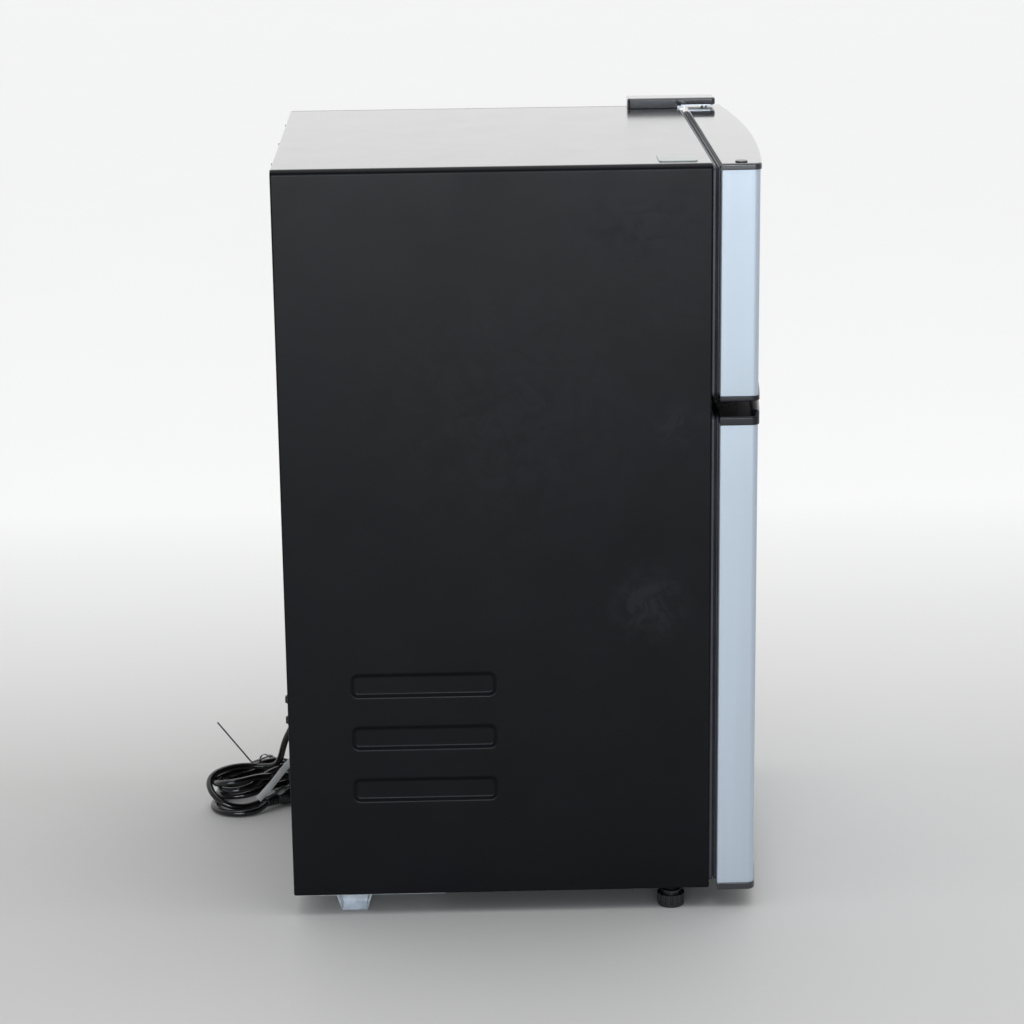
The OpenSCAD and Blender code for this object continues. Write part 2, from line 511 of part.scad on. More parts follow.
// ---------------------------------------------------------------- doors
// wrapped steel skin from z0 to z1, open towards the liner
module door_skin(z0, z1) difference() {
    ext_z(z0, z1) polygon(door_pts(cap_proud));
    difference() {
        ext_z(z0 - 1, z1 + 1) polygon(door_pts(cap_proud + sh));
        slab(-W2, W2, ydr - sh, ydr + 1, z0 - 2, z1 + 2);
    }
    slab(-gx - 0.3, gx + 0.3, ydr - sh - 0.01, ydr + 1, z0 - 1, z1 + 1);
}
module door_fill(z0, z1) difference() {
    ext_z(z0, z1) polygon(door_pts(cap_proud + sh));
    slab(-W2, W2, ydr - sh, ydr + 1, z0 - 2, z1 + 2);
}
// white inner wall: back sheet with a raised dam around a shallow recess
module door_liner_body(z0, z1, d0, d1) {
    slab(-gx, gx, ydr - sh, ydr, z0, z1);
    difference() {
        ext_y(ydr + 0.1, -180) polygon(rr(-damx, damx, d0, d1, 10));
        ext_y(ydr - 1, -179) polygon(rr(-damx + 12, damx - 12, d0 + 12, d1 - 12, 2));
        for (s = [-1, 1]) translate([s * (damx - 11.9), 0, 0]) slab(-0.05, 0.05, ydr, -179, d0 - 1, d1 + 1);
    }
}
// seal: mounting strip, magnet bulb and a groove between them
module door_seal(z0, z1) difference() {
    union() {
        ext_y(ydr, -207.5) polygon(rr(-gx + 1.5, gx - 1.5, z0 + 1.5, z1 - 1.5, 5));
        ext_y(-208, -205.8) polygon(rr(-gx + 3.5, gx - 3.5, z0 + 3.5, z1 - 3.5, 5));
        ext_y(-206.3, -201.8) polygon(rr(-gx, gx, z0, z1, 6));
    }
    ext_y(-212, -200) polygon(rr(-gx + 15, gx - 15, z0 + 15, z1 - 15, 4));
}
module bin(z0, z1, yb, zr) {
    x1 = damx - 12.3;
    difference() {
        ext_z(z0, z1) polygon(rr(-x1, x1, ydr + 0.1, yb, 5.5));
        ext_z(z0 + 2.5, z1 + 1) polygon(rr(-x1 + 2.5, x1 - 2.5, ydr + 2.5, yb - 2.5, 3));
        // cut the side walls down behind the front lip
        slab(-x1 - 1, x1 + 1, ydr - 1, yb - 14, zr, z1 + 1);
        // seams between the floor, the long walls and the end walls
        slab(-x1 - 1, x1 + 1, ydr - 1, yb + 1, z0 + 2.5, z0 + 2.6);
        for (s = [-1, 1]) translate([s * (x1 - 4.2), 0, 0]) slab(-0.05, 0.05, ydr - 1, yb + 1, z0 + 2.5, z1 + 1);
    }
}
module freezer_door_panel() color([0.74, 0.76, 0.78]) door_skin(fz0 + 6, ZT - 7);
module freezer_cap_top() color(black) difference() {
    union() {
        ext_z(ZT - 7, ZT) polygon(door_pts(0));
        rod_z(ZT - 18, ZT - 6, hx, hy, 9);
        rod_z(ZT - 18, ZT - 6, -hx, hy, 9);
    }
    rod_z(ZT - 14, ZT + 1, hx, hy, pin_bore);
    rod_z(ZT - 14, ZT + 1, -hx, hy, pin_bore);
}
module freezer_cap_bottom() color(black) difference() {
    union() {
        ext_z(fz0, fz0 + 6) polygon(door_pts(0));
        rod_z(fz0 + 5, fz0 + 20, hx, hy, 9);
    }
    rod_z(fz0 - 1, fz0 + 17, hx, hy, pin_bore);
    // shallow finger relief along the lower rear edge
    slab(-pocket_w / 2, pocket_w / 2, -250, -226, fz0 - 1, fz0 + 2.5);
}
module freezer_door_liner() color(white) door_liner_body(fz0 + 6, ZT - 7, fc0 + 10, fc1 - 10);
module freezer_door_gasket() color([0.2, 0.2, 0.23]) door_seal(fz0 + 2, ZT - 4);
module freezer_door_foam() color([0.9, 0.84, 0.6]) difference() {
    door_fill(fz0 + 6, ZT - 7);
    for (s = [-1, 1]) rod_z(ZT - 18, ZT, s * hx, hy, 9);
    rod_z(fz0, fz0 + 20, hx, hy, 9);
}
module freezer_door_rack() color(white) bin(fc0 + 40, fc0 + 88, -145, fc0 + 70);
module door_hole_plug() color(black) {
    rod_z(ZT, ZT + 1.2, -hx, hy, 6.5);
    rod_z(ZT - 13, ZT + 1, -hx, hy, pin_r - 0.1);
}

pk_y0 = -250;
pk_y1 = -222;
module fridge_door_panel() color([0.74, 0.76, 0.78]) door_skin(gz0 + 8.4, gz1 - 10);
module fridge_cap_top() color(black) difference() {
    union() {
        ext_z(gz1 - 10, gz1) polygon(door_pts(0));
        rod_z(gz1 - 24, gz1 - 9, hx, hy, 9);
        ext_z(gz1 - 23, gz1 - 9) polygon(rr(-pocket_w / 2 - 2, pocket_w / 2 + 2, pk_y0 - 2, pk_y1 + 2, 8));
        difference() {
            ext_z(gz1 - 2, gz1 + lip_h) polygon(door_pts(0));
            translate([0, lip_d, 0]) ext_z(gz1 - 1, gz1 + lip_h + 1) polygon(door_pts(0));
            slab(-W2 - 1, W2 + 1, yap + 25.5, 0, gz1 - 1, gz1 + lip_h + 1);
        }
    }
    rod_z(gz1 - 20, gz1 + 1, hx, hy, pin_bore);
    ext_z(gz1 - 21, gz1 + 1) polygon(rr(-pocket_w / 2, pocket_w / 2, pk_y0, pk_y1, 6));
    // the top steps down behind the front lip
    ext_z(gz1 - 4, gz1 + 1) polygon(rr(-pocket_w / 2 - 16, pocket_w / 2 + 16, pk_y0 - 1.5, pk_y1 + 5, 10));
}
module fridge_cap_bottom() color(black) difference() {
    union() {
        ext_z(gz0, gz0 + 8.4) polygon(door_pts(0));
        rod_z(gz0 + 8, gz0 + 20, hx, hy, 9);
    }
    rod_z(gz0 - 1, gz0 + 17, hx, hy, pin_bore);
}
module fridge_door_liner() color(white) door_liner_body(gz0 + 8.4, gz1 - 10, gc0 + 10, gc1 - 12);
module fridge_door_gasket() color([0.2, 0.2, 0.23]) door_seal(gz0 + 5.4, gz1 - 2);
module fridge_door_foam() color([0.9, 0.84, 0.6]) difference() {
    door_fill(gz0 + 8.4, gz1 - 10);
    rod_z(gz1 - 24, gz1, hx, hy, 9);
    rod_z(gz0, gz0 + 20, hx, hy, 9);
    ext_z(gz1 - 23, gz1) polygon(rr(-pocket_w / 2 - 2, pocket_w / 2 + 2, pk_y0 - 2, pk_y1 + 2, 8));
}
module fridge_bin_upper() color([0.85, 0.9, 0.93, 0.6]) bin(380, 436, -128, 412);
module fridge_bin_lower() color([0.85, 0.9, 0.93, 0.6]) bin(102, 190, -128, 158);

top_panel();
side_panel_left();
side_panel_right();
back_panel();
base_pan();
insulation_foam();
freezer_liner();
fridge_liner();
mullion_bar();
evaporator();
condenser_tube();
top_hinge();
top_hinge_cover();
middle_hinge();
bottom_hinge();
hinge_screws();
hinge_hole_cover();
thermostat_housing();
freezer_shelf();
crisper_cover();
compressor_base_plate();
compressor();
compressor_grommets();
compressor_bolts();
relay_cover();
filter_drier();
refrigerant_tubes();
drip_tray();
drain_tube();
back_screws();
cord_grip();
power_cord();
cord_hank();
power_plug();
cord_tie();
cord_tag();
shelf_upper_glass();
shelf_upper_trims();
shelf_lower_glass();
shelf_lower_trims();
front_foot_left();
front_foot_right();
thermostat_knob();
crisper_drawer();
freezer_door_panel();
freezer_cap_top();
freezer_cap_bottom();
freezer_door_liner();
freezer_door_gasket();
freezer_door_foam();
freezer_door_rack();
door_hole_plug();
fridge_door_panel();
fridge_cap_top();
fridge_cap_bottom();
fridge_door_liner();
fridge_door_gasket();
fridge_door_foam();
fridge_bin_upper();
fridge_bin_lower();
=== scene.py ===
import bpy, bmesh, json, math
import numpy as np
from mathutils import Vector, Matrix


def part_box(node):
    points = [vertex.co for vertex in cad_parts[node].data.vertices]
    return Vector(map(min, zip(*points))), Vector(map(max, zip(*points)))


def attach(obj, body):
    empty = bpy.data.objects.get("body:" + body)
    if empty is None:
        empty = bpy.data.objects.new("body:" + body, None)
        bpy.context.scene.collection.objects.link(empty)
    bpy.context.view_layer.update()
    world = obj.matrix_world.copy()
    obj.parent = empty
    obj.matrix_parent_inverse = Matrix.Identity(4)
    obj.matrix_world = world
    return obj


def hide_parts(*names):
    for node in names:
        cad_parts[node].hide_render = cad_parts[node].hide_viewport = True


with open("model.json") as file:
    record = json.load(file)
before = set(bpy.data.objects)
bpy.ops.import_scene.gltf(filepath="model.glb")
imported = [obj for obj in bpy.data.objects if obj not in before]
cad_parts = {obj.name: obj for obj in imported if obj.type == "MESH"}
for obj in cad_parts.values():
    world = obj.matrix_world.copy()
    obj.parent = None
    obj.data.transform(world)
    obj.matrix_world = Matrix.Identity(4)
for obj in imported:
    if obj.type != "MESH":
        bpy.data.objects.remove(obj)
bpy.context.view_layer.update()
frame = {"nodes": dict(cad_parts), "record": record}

scene = bpy.context.scene
nodes = frame["nodes"]


def box(n):
    a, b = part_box(n)
    return [float(x) * 1000 for x in a], [float(x) * 1000 for x in b]


# ------------------------------------------------------------ camera
def axes(pitch, yaw, roll):
    p, y, ro = (math.radians(v) for v in (pitch, yaw, roll))
    fw = Vector((math.cos(p) * math.cos(y), math.cos(p) * math.sin(y), -math.sin(p)))
    r0 = fw.cross(Vector((0, 0, 1))).normalized()
    u0 = r0.cross(fw)
    return r0 * math.cos(ro) + u0 * math.sin(ro), u0 * math.cos(ro) - r0 * math.sin(ro), fw


cam_data = bpy.data.cameras.new("Camera")
cam_data.sensor_fit = "HORIZONTAL"
cam_data.sensor_width = 36
cam_data.lens = 102.23
cam_data.clip_start, cam_data.clip_end = 0.05, 60
cam = bpy.data.objects.new("Camera", cam_data)
scene.collection.objects.link(cam)
r_, u_, f_ = axes(15.459, -1.24, -0.72)
cam.matrix_world = Matrix.Translation((-3.2559, 0.0791, 1.2999)) @ Matrix(
    ((r_.x, u_.x, -f_.x), (r_.y, u_.y, -f_.y), (r_.z, u_.z, -f_.z))).to_4x4()
scene.camera = cam
scene.view_settings.view_transform = "Standard"
scene.view_settings.look = "None"


# ------------------------------------------------------------ materials
def lin(c):
    return tuple((v / 12.92 if v <= 0.04045 else ((v + 0.055) / 1.055) ** 2.4) for v in (x / 255 for x in c))


def noise(nt, vec, scale, detail=3.0, rough=0.55, dist=0.0):
    n = nt.nodes.new("ShaderNodeTexNoise")
    n.inputs["Scale"].default_value = scale
    n.inputs["Detail"].default_value = detail
    n.inputs["Roughness"].default_value = rough
    n.inputs["Distortion"].default_value = dist
    nt.links.new(vec, n.inputs["Vector"])
    return n.outputs["Fac"]


def ramp(nt, fac, stops):
    r = nt.nodes.new("ShaderNodeValToRGB")
    e = r.color_ramp.elements
    while len(e) < len(stops):
        e.new(0.5)
    for k, (p, c) in enumerate(stops):
        e[k].position = p
        e[k].color = (c[0], c[1], c[2], 1) if not isinstance(c, (int, float)) else (c, c, c, 1)
    nt.links.new(fac, r.inputs["Fac"])
    return r.outputs["Color"]


def math_(nt, op, a, b=None, c=None):
    m = nt.nodes.new("ShaderNodeMath")
    m.operation = op
    for k, v in enumerate((a, b, c)):
        if v is None:
            continue
        if isinstance(v, (int, float)):
            m.inputs[k].default_value = v
        else:
            nt.links.new(v, m.inputs[k])
    return m.outputs[0]


def mapping(nt, scale=(1, 1, 1), rot=(0, 0, 0)):
    tc = nt.nodes.new("ShaderNodeTexCoord")
    mp = nt.nodes.new("ShaderNodeMapping")
    mp.inputs["Scale"].default_value = scale
    mp.inputs["Rotation"].default_value = rot
    nt.links.new(tc.outputs["Object"], mp.inputs["Vector"])
    return mp.outputs["Vector"]


def mix(nt, fac, a, b):
    m = nt.nodes.new("ShaderNodeMix")
    m.data_type = "RGBA"
    for k, v in ((0, fac), (6, a), (7, b)):
        if hasattr(v, "is_linked"):
            nt.links.new(v, m.inputs[k])
        elif k == 0:
            m.inputs[k].default_value = v
        else:
            m.inputs[k].default_value = (v[0], v[1], v[2], 1)
    return m.outputs[2]


def pmat(name, col, rough=0.4, metal=0.0, var=0.1, vscale=9.0, rvar=0.08, rscale=14.0, bumps=((260, 0.06, 0.0003),),
         stretch=(1, 1, 1), spec=0.5, coat=0.0, coat_rough=0.08, coat_ior=1.5, trans=0.0, ior=1.5, sheen=0.0,
         specks=None, wear=None, aniso=0.0, sub=0.0, smudges=None):
    m = bpy.data.materials.new(name)
    m.use_nodes = True
    nt = m.node_tree
    nt.nodes.clear()
    out = nt.nodes.new("ShaderNodeOutputMaterial")
    b = nt.nodes.new("ShaderNodeBsdfPrincipled")
    nt.links.new(b.outputs[0], out.inputs[0])
    vec = mapping(nt)
    vec_s = mapping(nt, stretch)
    lo_c = [max(0, c * (1 - var)) for c in col]
    hi_c = [min(1, c * (1 + var)) for c in col]
    n1 = noise(nt, vec_s, vscale, 4)
    colour = ramp(nt, n1, [(0.3, lo_c), (0.7, hi_c)])
    n2 = noise(nt, vec_s, rscale, 5, 0.6, 0.4)
    rr_ = math_(nt, "MULTIPLY_ADD", n2, 2 * rvar, rough - rvar)
    if specks:
        n3 = noise(nt, vec, specks[0], 2)
        mask = ramp(nt, n3, [(specks[1], 0.0), (min(1, specks[1] + 0.04), 1.0)])
        colour = mix(nt, mask, colour, specks[2])
    if wear:
        g = nt.nodes.new("ShaderNodeNewGeometry")
        w = ramp(nt, g.outputs["Pointiness"], [(wear[0], 0.0), (wear[0] + 0.06, 1.0)])
        n4 = noise(nt, vec, 55, 4)
        w2 = math_(nt, "MULTIPLY", w, ramp(nt, n4, [(0.45, 0.0), (0.65, 1.0)]))
        w2 = math_(nt, "MULTIPLY", w2, wear[2])
        colour = mix(nt, w2, colour, wear[1])
    if smudges:
        total = None
        sep = nt.nodes.new("ShaderNodeSeparateXYZ")
        nt.links.new(vec, sep.inputs[0])
        for (y0, z0, ry, rz, amt) in smudges:
            dy = math_(nt, "MULTIPLY", math_(nt, "SUBTRACT", sep.outputs[1], y0), 1 / ry)
            dz = math_(nt, "MULTIPLY", math_(nt, "SUBTRACT", sep.outputs[2], z0), 1 / rz)
            d = math_(nt, "SQRT", math_(nt, "ADD", math_(nt, "MULTIPLY", dy, dy), math_(nt, "MULTIPLY", dz, dz)))
            k = math_(nt, "MULTIPLY", math_(nt, "SMOOTH_MIN", math_(nt, "MAXIMUM", math_(nt, "SUBTRACT", 1.0, d), 0.0), 0.7, 0.2), amt)
            total = k if total is None else math_(nt, "MAXIMUM", total, k)
        n5 = noise(nt, vec, 42, 5, 0.65, 1.2)
        patch = math_(nt, "MULTIPLY", total, ramp(nt, n5, [(0.42, 0.0), (0.62, 1.0)]))
        colour = mix(nt, patch, colour, [min(1, c * 2.2 + 0.014) for c in col])
        rr_ = math_(nt, "MULTIPLY_ADD", patch, 0.3, rr_)
    nt.links.new(colour, b.inputs["Base Color"])
    cl = nt.nodes.new("ShaderNodeClamp")
    nt.links.new(rr_, cl.inputs["Value"])
    nt.links.new(cl.outputs[0], b.inputs["Roughness"])
    prev = None
    for k, (sc, st, di) in enumerate(bumps):
        bp = nt.nodes.new("ShaderNodeBump")
        bp.inputs["Strength"].default_value = st
        bp.inputs["Distance"].default_value = di
        nt.links.new(noise(nt, vec_s if k == 0 else vec, sc, 3), bp.inputs["Height"])
        if prev is not None:
            nt.links.new(prev, bp.inputs["Normal"])
        prev = bp.outputs[0]
    if prev is not None:
        nt.links.new(prev, b.inputs["Normal"])
    b.inputs["Metallic"].default_value = metal
    b.inputs["Specular IOR Level"].default_value = spec
    b.inputs["IOR"].default_value = ior
    b.inputs["Coat Weight"].default_value = coat
    b.inputs["Coat Roughness"].default_value = coat_rough
    b.inputs["Coat IOR"].default_value = coat_ior
    b.inputs["Transmission Weight"].default_value = trans
    b.inputs["Sheen Weight"].default_value = sheen
    b.inputs["Anisotropic"].default_value = aniso
    b.inputs["Subsurface Weight"].default_value = sub
    return m


M = {}
PUT = []
M["black_painted_steel"] = pmat("black_enamel_side", (0.0014, 0.0015, 0.0032), 0.34, var=0.25, vscale=7, rvar=0.09, rscale=11,
    bumps=((420, 0.10, 0.00022), (5.5, 0.35, 0.0016)), spec=0.15,
    smudges=((-0.13, 0.775, 0.085, 0.055, 1.0), (-0.165, 0.70, 0.05, 0.05, 0.7), (-0.17, 0.555, 0.035, 0.03, 0.8),
             (-0.135, 0.355, 0.05, 0.05, 0.7), (0.02, 0.60, 0.2, 0.2, 0.22)))
M["black_top"] = pmat("black_enamel_top", (0.0075, 0.0078, 0.0085), 0.24, var=0.2, vscale=8, rvar=0.05, rscale=18,
    bumps=((380, 0.06, 0.00018), (9, 0.22, 0.0009)), spec=0.7, coat=1.0, coat_rough=0.14, coat_ior=1.75,
    specks=(75, 0.72, (0.05, 0.05, 0.052)))
M["silver_steel"] = pmat("brushed_silver", (0.495, 0.56, 0.63), 0.50, metal=0.5, var=0.045, vscale=30, rvar=0.06, rscale=60,
    bumps=((900, 0.06, 0.00008),), stretch=(1, 1, 0.02), spec=0.5, aniso=0.5)
M["zinc_plated_steel"] = pmat("zinc_plate", (0.50, 0.53, 0.57), 0.33, metal=1.0, var=0.22, vscale=90, rvar=0.12, rscale=70,
    bumps=((300, 0.10, 0.00015),), spec=0.5)
M["black_plastic"] = pmat("black_gloss_plastic", (0.010, 0.010, 0.012), 0.22, var=0.15, vscale=20, rvar=0.06, rscale=35,
    bumps=((700, 0.05, 0.0001),), spec=0.6)
M["black_cap"] = pmat("black_cap_plastic", (0.006, 0.007, 0.013), 0.13, var=0.15, vscale=20, rvar=0.03, rscale=30,
    bumps=((500, 0.05, 0.0001), (14, 0.08, 0.0003)), spec=0.5, coat=1.0, coat_rough=0.05, coat_ior=1.5)
M["black_screws"] = pmat("black_oxide", (0.012, 0.012, 0.013), 0.35, metal=0.4, var=0.25, vscale=200, bumps=((900, 0.1, 0.0001),))
M["white_plastic"] = pmat("white_moulded_plastic", (0.80, 0.82, 0.83), 0.30, var=0.025, vscale=7, rvar=0.05,
    bumps=((340, 0.05, 0.0002), (12, 0.08, 0.0005)), spec=0.5, sub=0.02)
M["clear_plastic"] = pmat("clear_plastic", (0.86, 0.93, 0.96), 0.08, var=0.02, rvar=0.03, bumps=((80, 0.04, 0.0002),), trans=0.92, ior=1.49)
M["shelf_glass"] = pmat("shelf_glass", (0.82, 0.94, 0.90), 0.03, var=0.02, rvar=0.02, bumps=((30, 0.02, 0.0001),), trans=1.0, ior=1.5)
M["seal_rubber"] = pmat("seal_rubber", (0.050, 0.052, 0.064), 0.38, var=0.2, vscale=30, rvar=0.08, bumps=((420, 0.10, 0.00015),), spec=0.5)
M["foam"] = pmat("foam", (0.72, 0.62, 0.32), 0.9, var=0.12, vscale=60, bumps=((500, 0.6, 0.0006),), spec=0.2)
# the foam's front edge is masked in black where the sheets meet
_nt = M["foam"].node_tree
_b = next(n for n in _nt.nodes if n.type == "BSDF_PRINCIPLED")
_s = _nt.nodes.new("ShaderNodeSeparateXYZ")
_nt.links.new(mapping(_nt), _s.inputs[0])
_old = _b.inputs["Base Color"].links[0].from_socket
_nt.links.new(mix(_nt, math_(_nt, "LESS_THAN", _s.outputs[1], -0.197), _old, (0.004, 0.004, 0.005)), _b.inputs["Base Color"])
M["evaporator_aluminium"] = pmat("roll_bond_aluminium", (0.72, 0.73, 0.75), 0.38, metal=1.0, var=0.06, vscale=40, bumps=((500, 0.1, 0.0001),))
M["condenser_steel"] = pmat("condenser_steel", (0.05, 0.05, 0.055), 0.45, metal=0.6, var=0.15, bumps=((600, 0.1, 0.0001),))
M["copper"] = pmat("copper", (0.62, 0.29, 0.16), 0.30, metal=1.0, var=0.25, vscale=45, rvar=0.12, bumps=((500, 0.06, 0.0001),))
M["compressor_black"] = pmat("compressor_enamel", (0.012, 0.012, 0.013), 0.26, var=0.2, vscale=20, rvar=0.08,
    bumps=((190, 0.18, 0.0003),), spec=0.5, specks=(95, 0.70, (0.06, 0.055, 0.05)))
M["black_rubber"] = pmat("black_vinyl", (0.0035, 0.0035, 0.0045), 0.19, var=0.25, vscale=40, rvar=0.07, bumps=((900, 0.08, 0.0001),), spec=0.6)
M["white_wire"] = pmat("white_powder_coat", (0.80, 0.81, 0.81), 0.38, var=0.03, vscale=30, bumps=((900, 0.15, 0.00012),))
M["grey_plastic"] = pmat("light_grey_plastic", (0.42, 0.45, 0.43), 0.30, var=0.05, vscale=40, rvar=0.06, bumps=((500, 0.10, 0.00015),))
M["paper"] = pmat("coated_paper", (0.80, 0.80, 0.79), 0.55, var=0.04, vscale=60, bumps=((700, 0.12, 0.0001), (60, 0.2, 0.0004)))
M["nickel"] = pmat("nickel_blade", (0.66, 0.62, 0.52), 0.24, metal=1.0, var=0.12, vscale=120, bumps=((900, 0.06, 0.0001),))
# darker, uncoated copy of the cap plastic for the two caps that face the gap between the doors: painted shade of the
# gap
M["gap_shaded_black"] = pmat("black_cap_plastic_painted_gap_shade", (0.005, 0.005, 0.009), 0.26, var=0.2, vscale=25, rvar=0.06, bumps=((500, 0.06, 0.0001),), spec=0.4)
M["tie_grey"] = pmat("tie_plastic", (0.055, 0.055, 0.062), 0.35, var=0.2, vscale=90, bumps=((900, 0.1, 0.0001),))
M["black_socket"] = pmat("black_matt_plastic", (0.008, 0.008, 0.009), 0.5, var=0.2, vscale=30, bumps=((400, 0.1, 0.0002),), spec=0.3)


# ------------------------------------------------------------ mesh helpers
def put(bm, name, mat, body="cabinet", replaces=(), sharp=38, weld=1e-5):
    if weld:
        bmesh.ops.remove_doubles(bm, verts=bm.verts, dist=weld * 1000)
    bmesh.ops.scale(bm, vec=(0.001, 0.001, 0.001), verts=bm.verts)
    for f in bm.faces:
        f.smooth = True
    lim = math.radians(sharp)
    for e in bm.edges:
        if len(e.link_faces) == 2 and e.calc_face_angle(0) > lim:
            e.smooth = False
    me = bpy.data.meshes.new(name)
    bm.to_mesh(me)
    bm.free()
    o = bpy.data.objects.new(name, me)
    scene.collection.objects.link(o)
    me.materials.append(M[mat])
    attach(o, body)
    if replaces:
        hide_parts(*replaces)
    PUT.append(o)
    return o


def loops(rows, cap0=True, cap1=True, closed=True, bm=None):
    """Skin over rows of points, each row a closed (or open) loop with the same number of points."""
    bm = bm or bmesh.new()
    vs = [[bm.verts.new(p) for p in row] for row in rows]
    n = len(rows[0])
    for a, b in zip(vs, vs[1:]):
        for j in range(n if closed else n - 1):
            q = [a[j], a[(j + 1) % n], b[(j + 1) % n], b[j]]
            try:
                bm.faces.new(q)
            except ValueError:
                pass
    if closed and cap0:
        bm.faces.new(list(reversed(vs[0])))
    if closed and cap1:
        bm.faces.new(vs[-1])
    return bm


def fix_normals(bm):
    bmesh.ops.recalc_face_normals(bm, faces=bm.faces)
    return bm


def arc(cx, cy, r, a0, a1, n):
    return [(cx + r * math.cos(math.radians(a0 + (a1 - a0) * i / n)), cy + r * math.sin(math.radians(a0 + (a1 - a0) * i / n))) for i in range(n + 1)]


def rr(x0, x1, y0, y1, r, n=8):
    return (arc(x1 - r, y0 + r, r, -90, 0, n) + arc(x1 - r, y1 - r, r, 0, 90, n)
            + arc(x0 + r, y1 - r, r, 90, 180, n) + arc(x0 + r, y0 + r, r, 180, 270, n))


def smooth01(t):
    t = min(1.0, max(0.0, t))
    return t * t * (3 - 2 * t)


def solid(o, t, offset=-1.0):
    m = o.modifiers.new("thick", "SOLIDIFY")
    m.thickness = t / 1000
    m.offset = offset
    return o


# main dimensions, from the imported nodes
side_lo, side_hi = box("side_panel_left")
W2 = -side_lo[0]
YF, YB = side_lo[1], side_hi[1]
Z0, ZT = side_lo[2], side_hi[2]


# ------------------------------------------------------------ cabinet side panels
def frange(a, b, step):
    n = max(1, int(math.ceil(abs(b - a) / step)))
    return [a + (b - a) * i / n for i in range(n + 1)]


EMB_Y, EMB_L, EMB_H, EMB_R, EMB_D = 113.0, 160.0, 28.0, 8.0, 2.5
EMB_Z = [148.1 + i * 60.7 for i in range(3)]


def emboss(y, z):
    best = 0.0
    for zc in EMB_Z:
        qx = abs(y - EMB_Y) - (EMB_L / 2 - EMB_R)
        qz = abs(z - zc) - (EMB_H / 2 - EMB_R)
        d = math.hypot(max(qx, 0), max(qz, 0)) + min(max(qx, qz), 0) - EMB_R
        best = max(best, EMB_D * smooth01(-d / 4.2))
    return best


def side_panel(sign, name, node):
    rf = 2.0
    sp = [(YF, a) for a in frange(15, rf, 7)][:-1]
    sp += [(YF + rf - rf * math.cos(t), rf - rf * math.sin(t)) for t in [math.pi / 2 * i / 5 for i in range(6)]]
    ys = frange(YF + rf, EMB_Y - EMB_L / 2 - 1, 26) + frange(EMB_Y - EMB_L / 2 - 1, EMB_Y - EMB_L / 2 + 12, 1.1)[1:]
    ys += frange(EMB_Y - EMB_L / 2 + 12, EMB_Y + EMB_L / 2 - 12, 12)[1:]
    ys += frange(EMB_Y + EMB_L / 2 - 12, EMB_Y + EMB_L / 2 + 1, 1.1)[1:] + frange(EMB_Y + EMB_L / 2 + 1, YB - rf, 20)[1:]
    sp += [(y, 0.0) for y in ys[1:]]
    sp += [(YB - rf + rf * math.sin(t), rf - rf * math.cos(t)) for t in [math.pi / 2 * i / 5 for i in range(1, 6)]]
    sp += [(YB, a) for a in frange(rf, 15, 7)][1:]
    rb = 2.0
    tp = [(-x, Z0, 0, -1, False) for x in frange(W2 - 29, W2 - rb, 9)][:-1]
    tp += [(-W2 + rb - rb * math.cos(t), Z0 + rb - rb * math.sin(t), -math.cos(t), -math.sin(t), False) for t in [math.pi / 2 * (1 - i / 5) for i in range(5)]]
    zs_ = frange(Z0 + rb, EMB_Z[0] - 16, 30) + frange(EMB_Z[0] - 16, EMB_Z[2] + 16, 1.25)[1:] + frange(EMB_Z[2] + 16, ZT - 6.5, 40)[1:]
    tp += [(-W2, z, -1, 0, True) for z in zs_]
    tp += [(-W2 + 6 - 6 * math.cos(t), ZT - 6 + 6 * math.sin(t), -math.cos(t), math.sin(t), False) for t in [math.pi / 2 * i / 9 for i in range(10)]]
    tp += [(-W2 + 6.4, ZT - 0.12, 0, 1, False), (-W2 + 6.5, ZT - 0.5, 0.7, 0.7, False), (-W2 + 6.5, ZT - 1.3, 1, 0, False)]
    bm = bmesh.new()
    grid = []
    for (x, z, nx, nz, wall) in tp:
        row = []
        for (y, a) in sp:
            if a > rf and not wall:
                row.append(None)
                continue
            aa = a if (wall or abs(nx) > 0.02 or nz != 1) else min(a, 1.2)
            if not wall and nx > 0:
                aa = 0.0
            px = x - nx * aa
            pz = z - nz * aa
            if wall and a == 0.0:
                px += emboss(y, z)
            row.append(bm.verts.new((sign * -px if sign > 0 else px, y, pz)))
        grid.append(row)
    for i in range(len(grid) - 1):
        for j in range(len(sp) - 1):
            q = [grid[i][j], grid[i][j + 1], grid[i + 1][j + 1], grid[i + 1][j]]
            if None in q:
                continue
            if sign > 0:
                bm.faces.new(q)
            else:
                bm.faces.new(list(reversed(q)))
    for f in bm.faces:
        f.normal_update()
    c = [f for f in bm.faces if abs(f.normal.x) > 0.9]
    if c and sum(f.normal.x for f in c) * sign < 0:
        bmesh.ops.reverse_faces(bm, faces=bm.faces)
    o = put(bm, name, "black_painted_steel", body="cabinet", replaces=(node,), sharp=50, weld=None)
    solid(o, 0.8)
    return o


side_panel(-1, "side_skin_left", "side_panel_left")
side_panel(1, "side_skin_right", "side_panel_right")

# ------------------------------------------------------------ cabinet top
tlo, thi = box("top_panel")


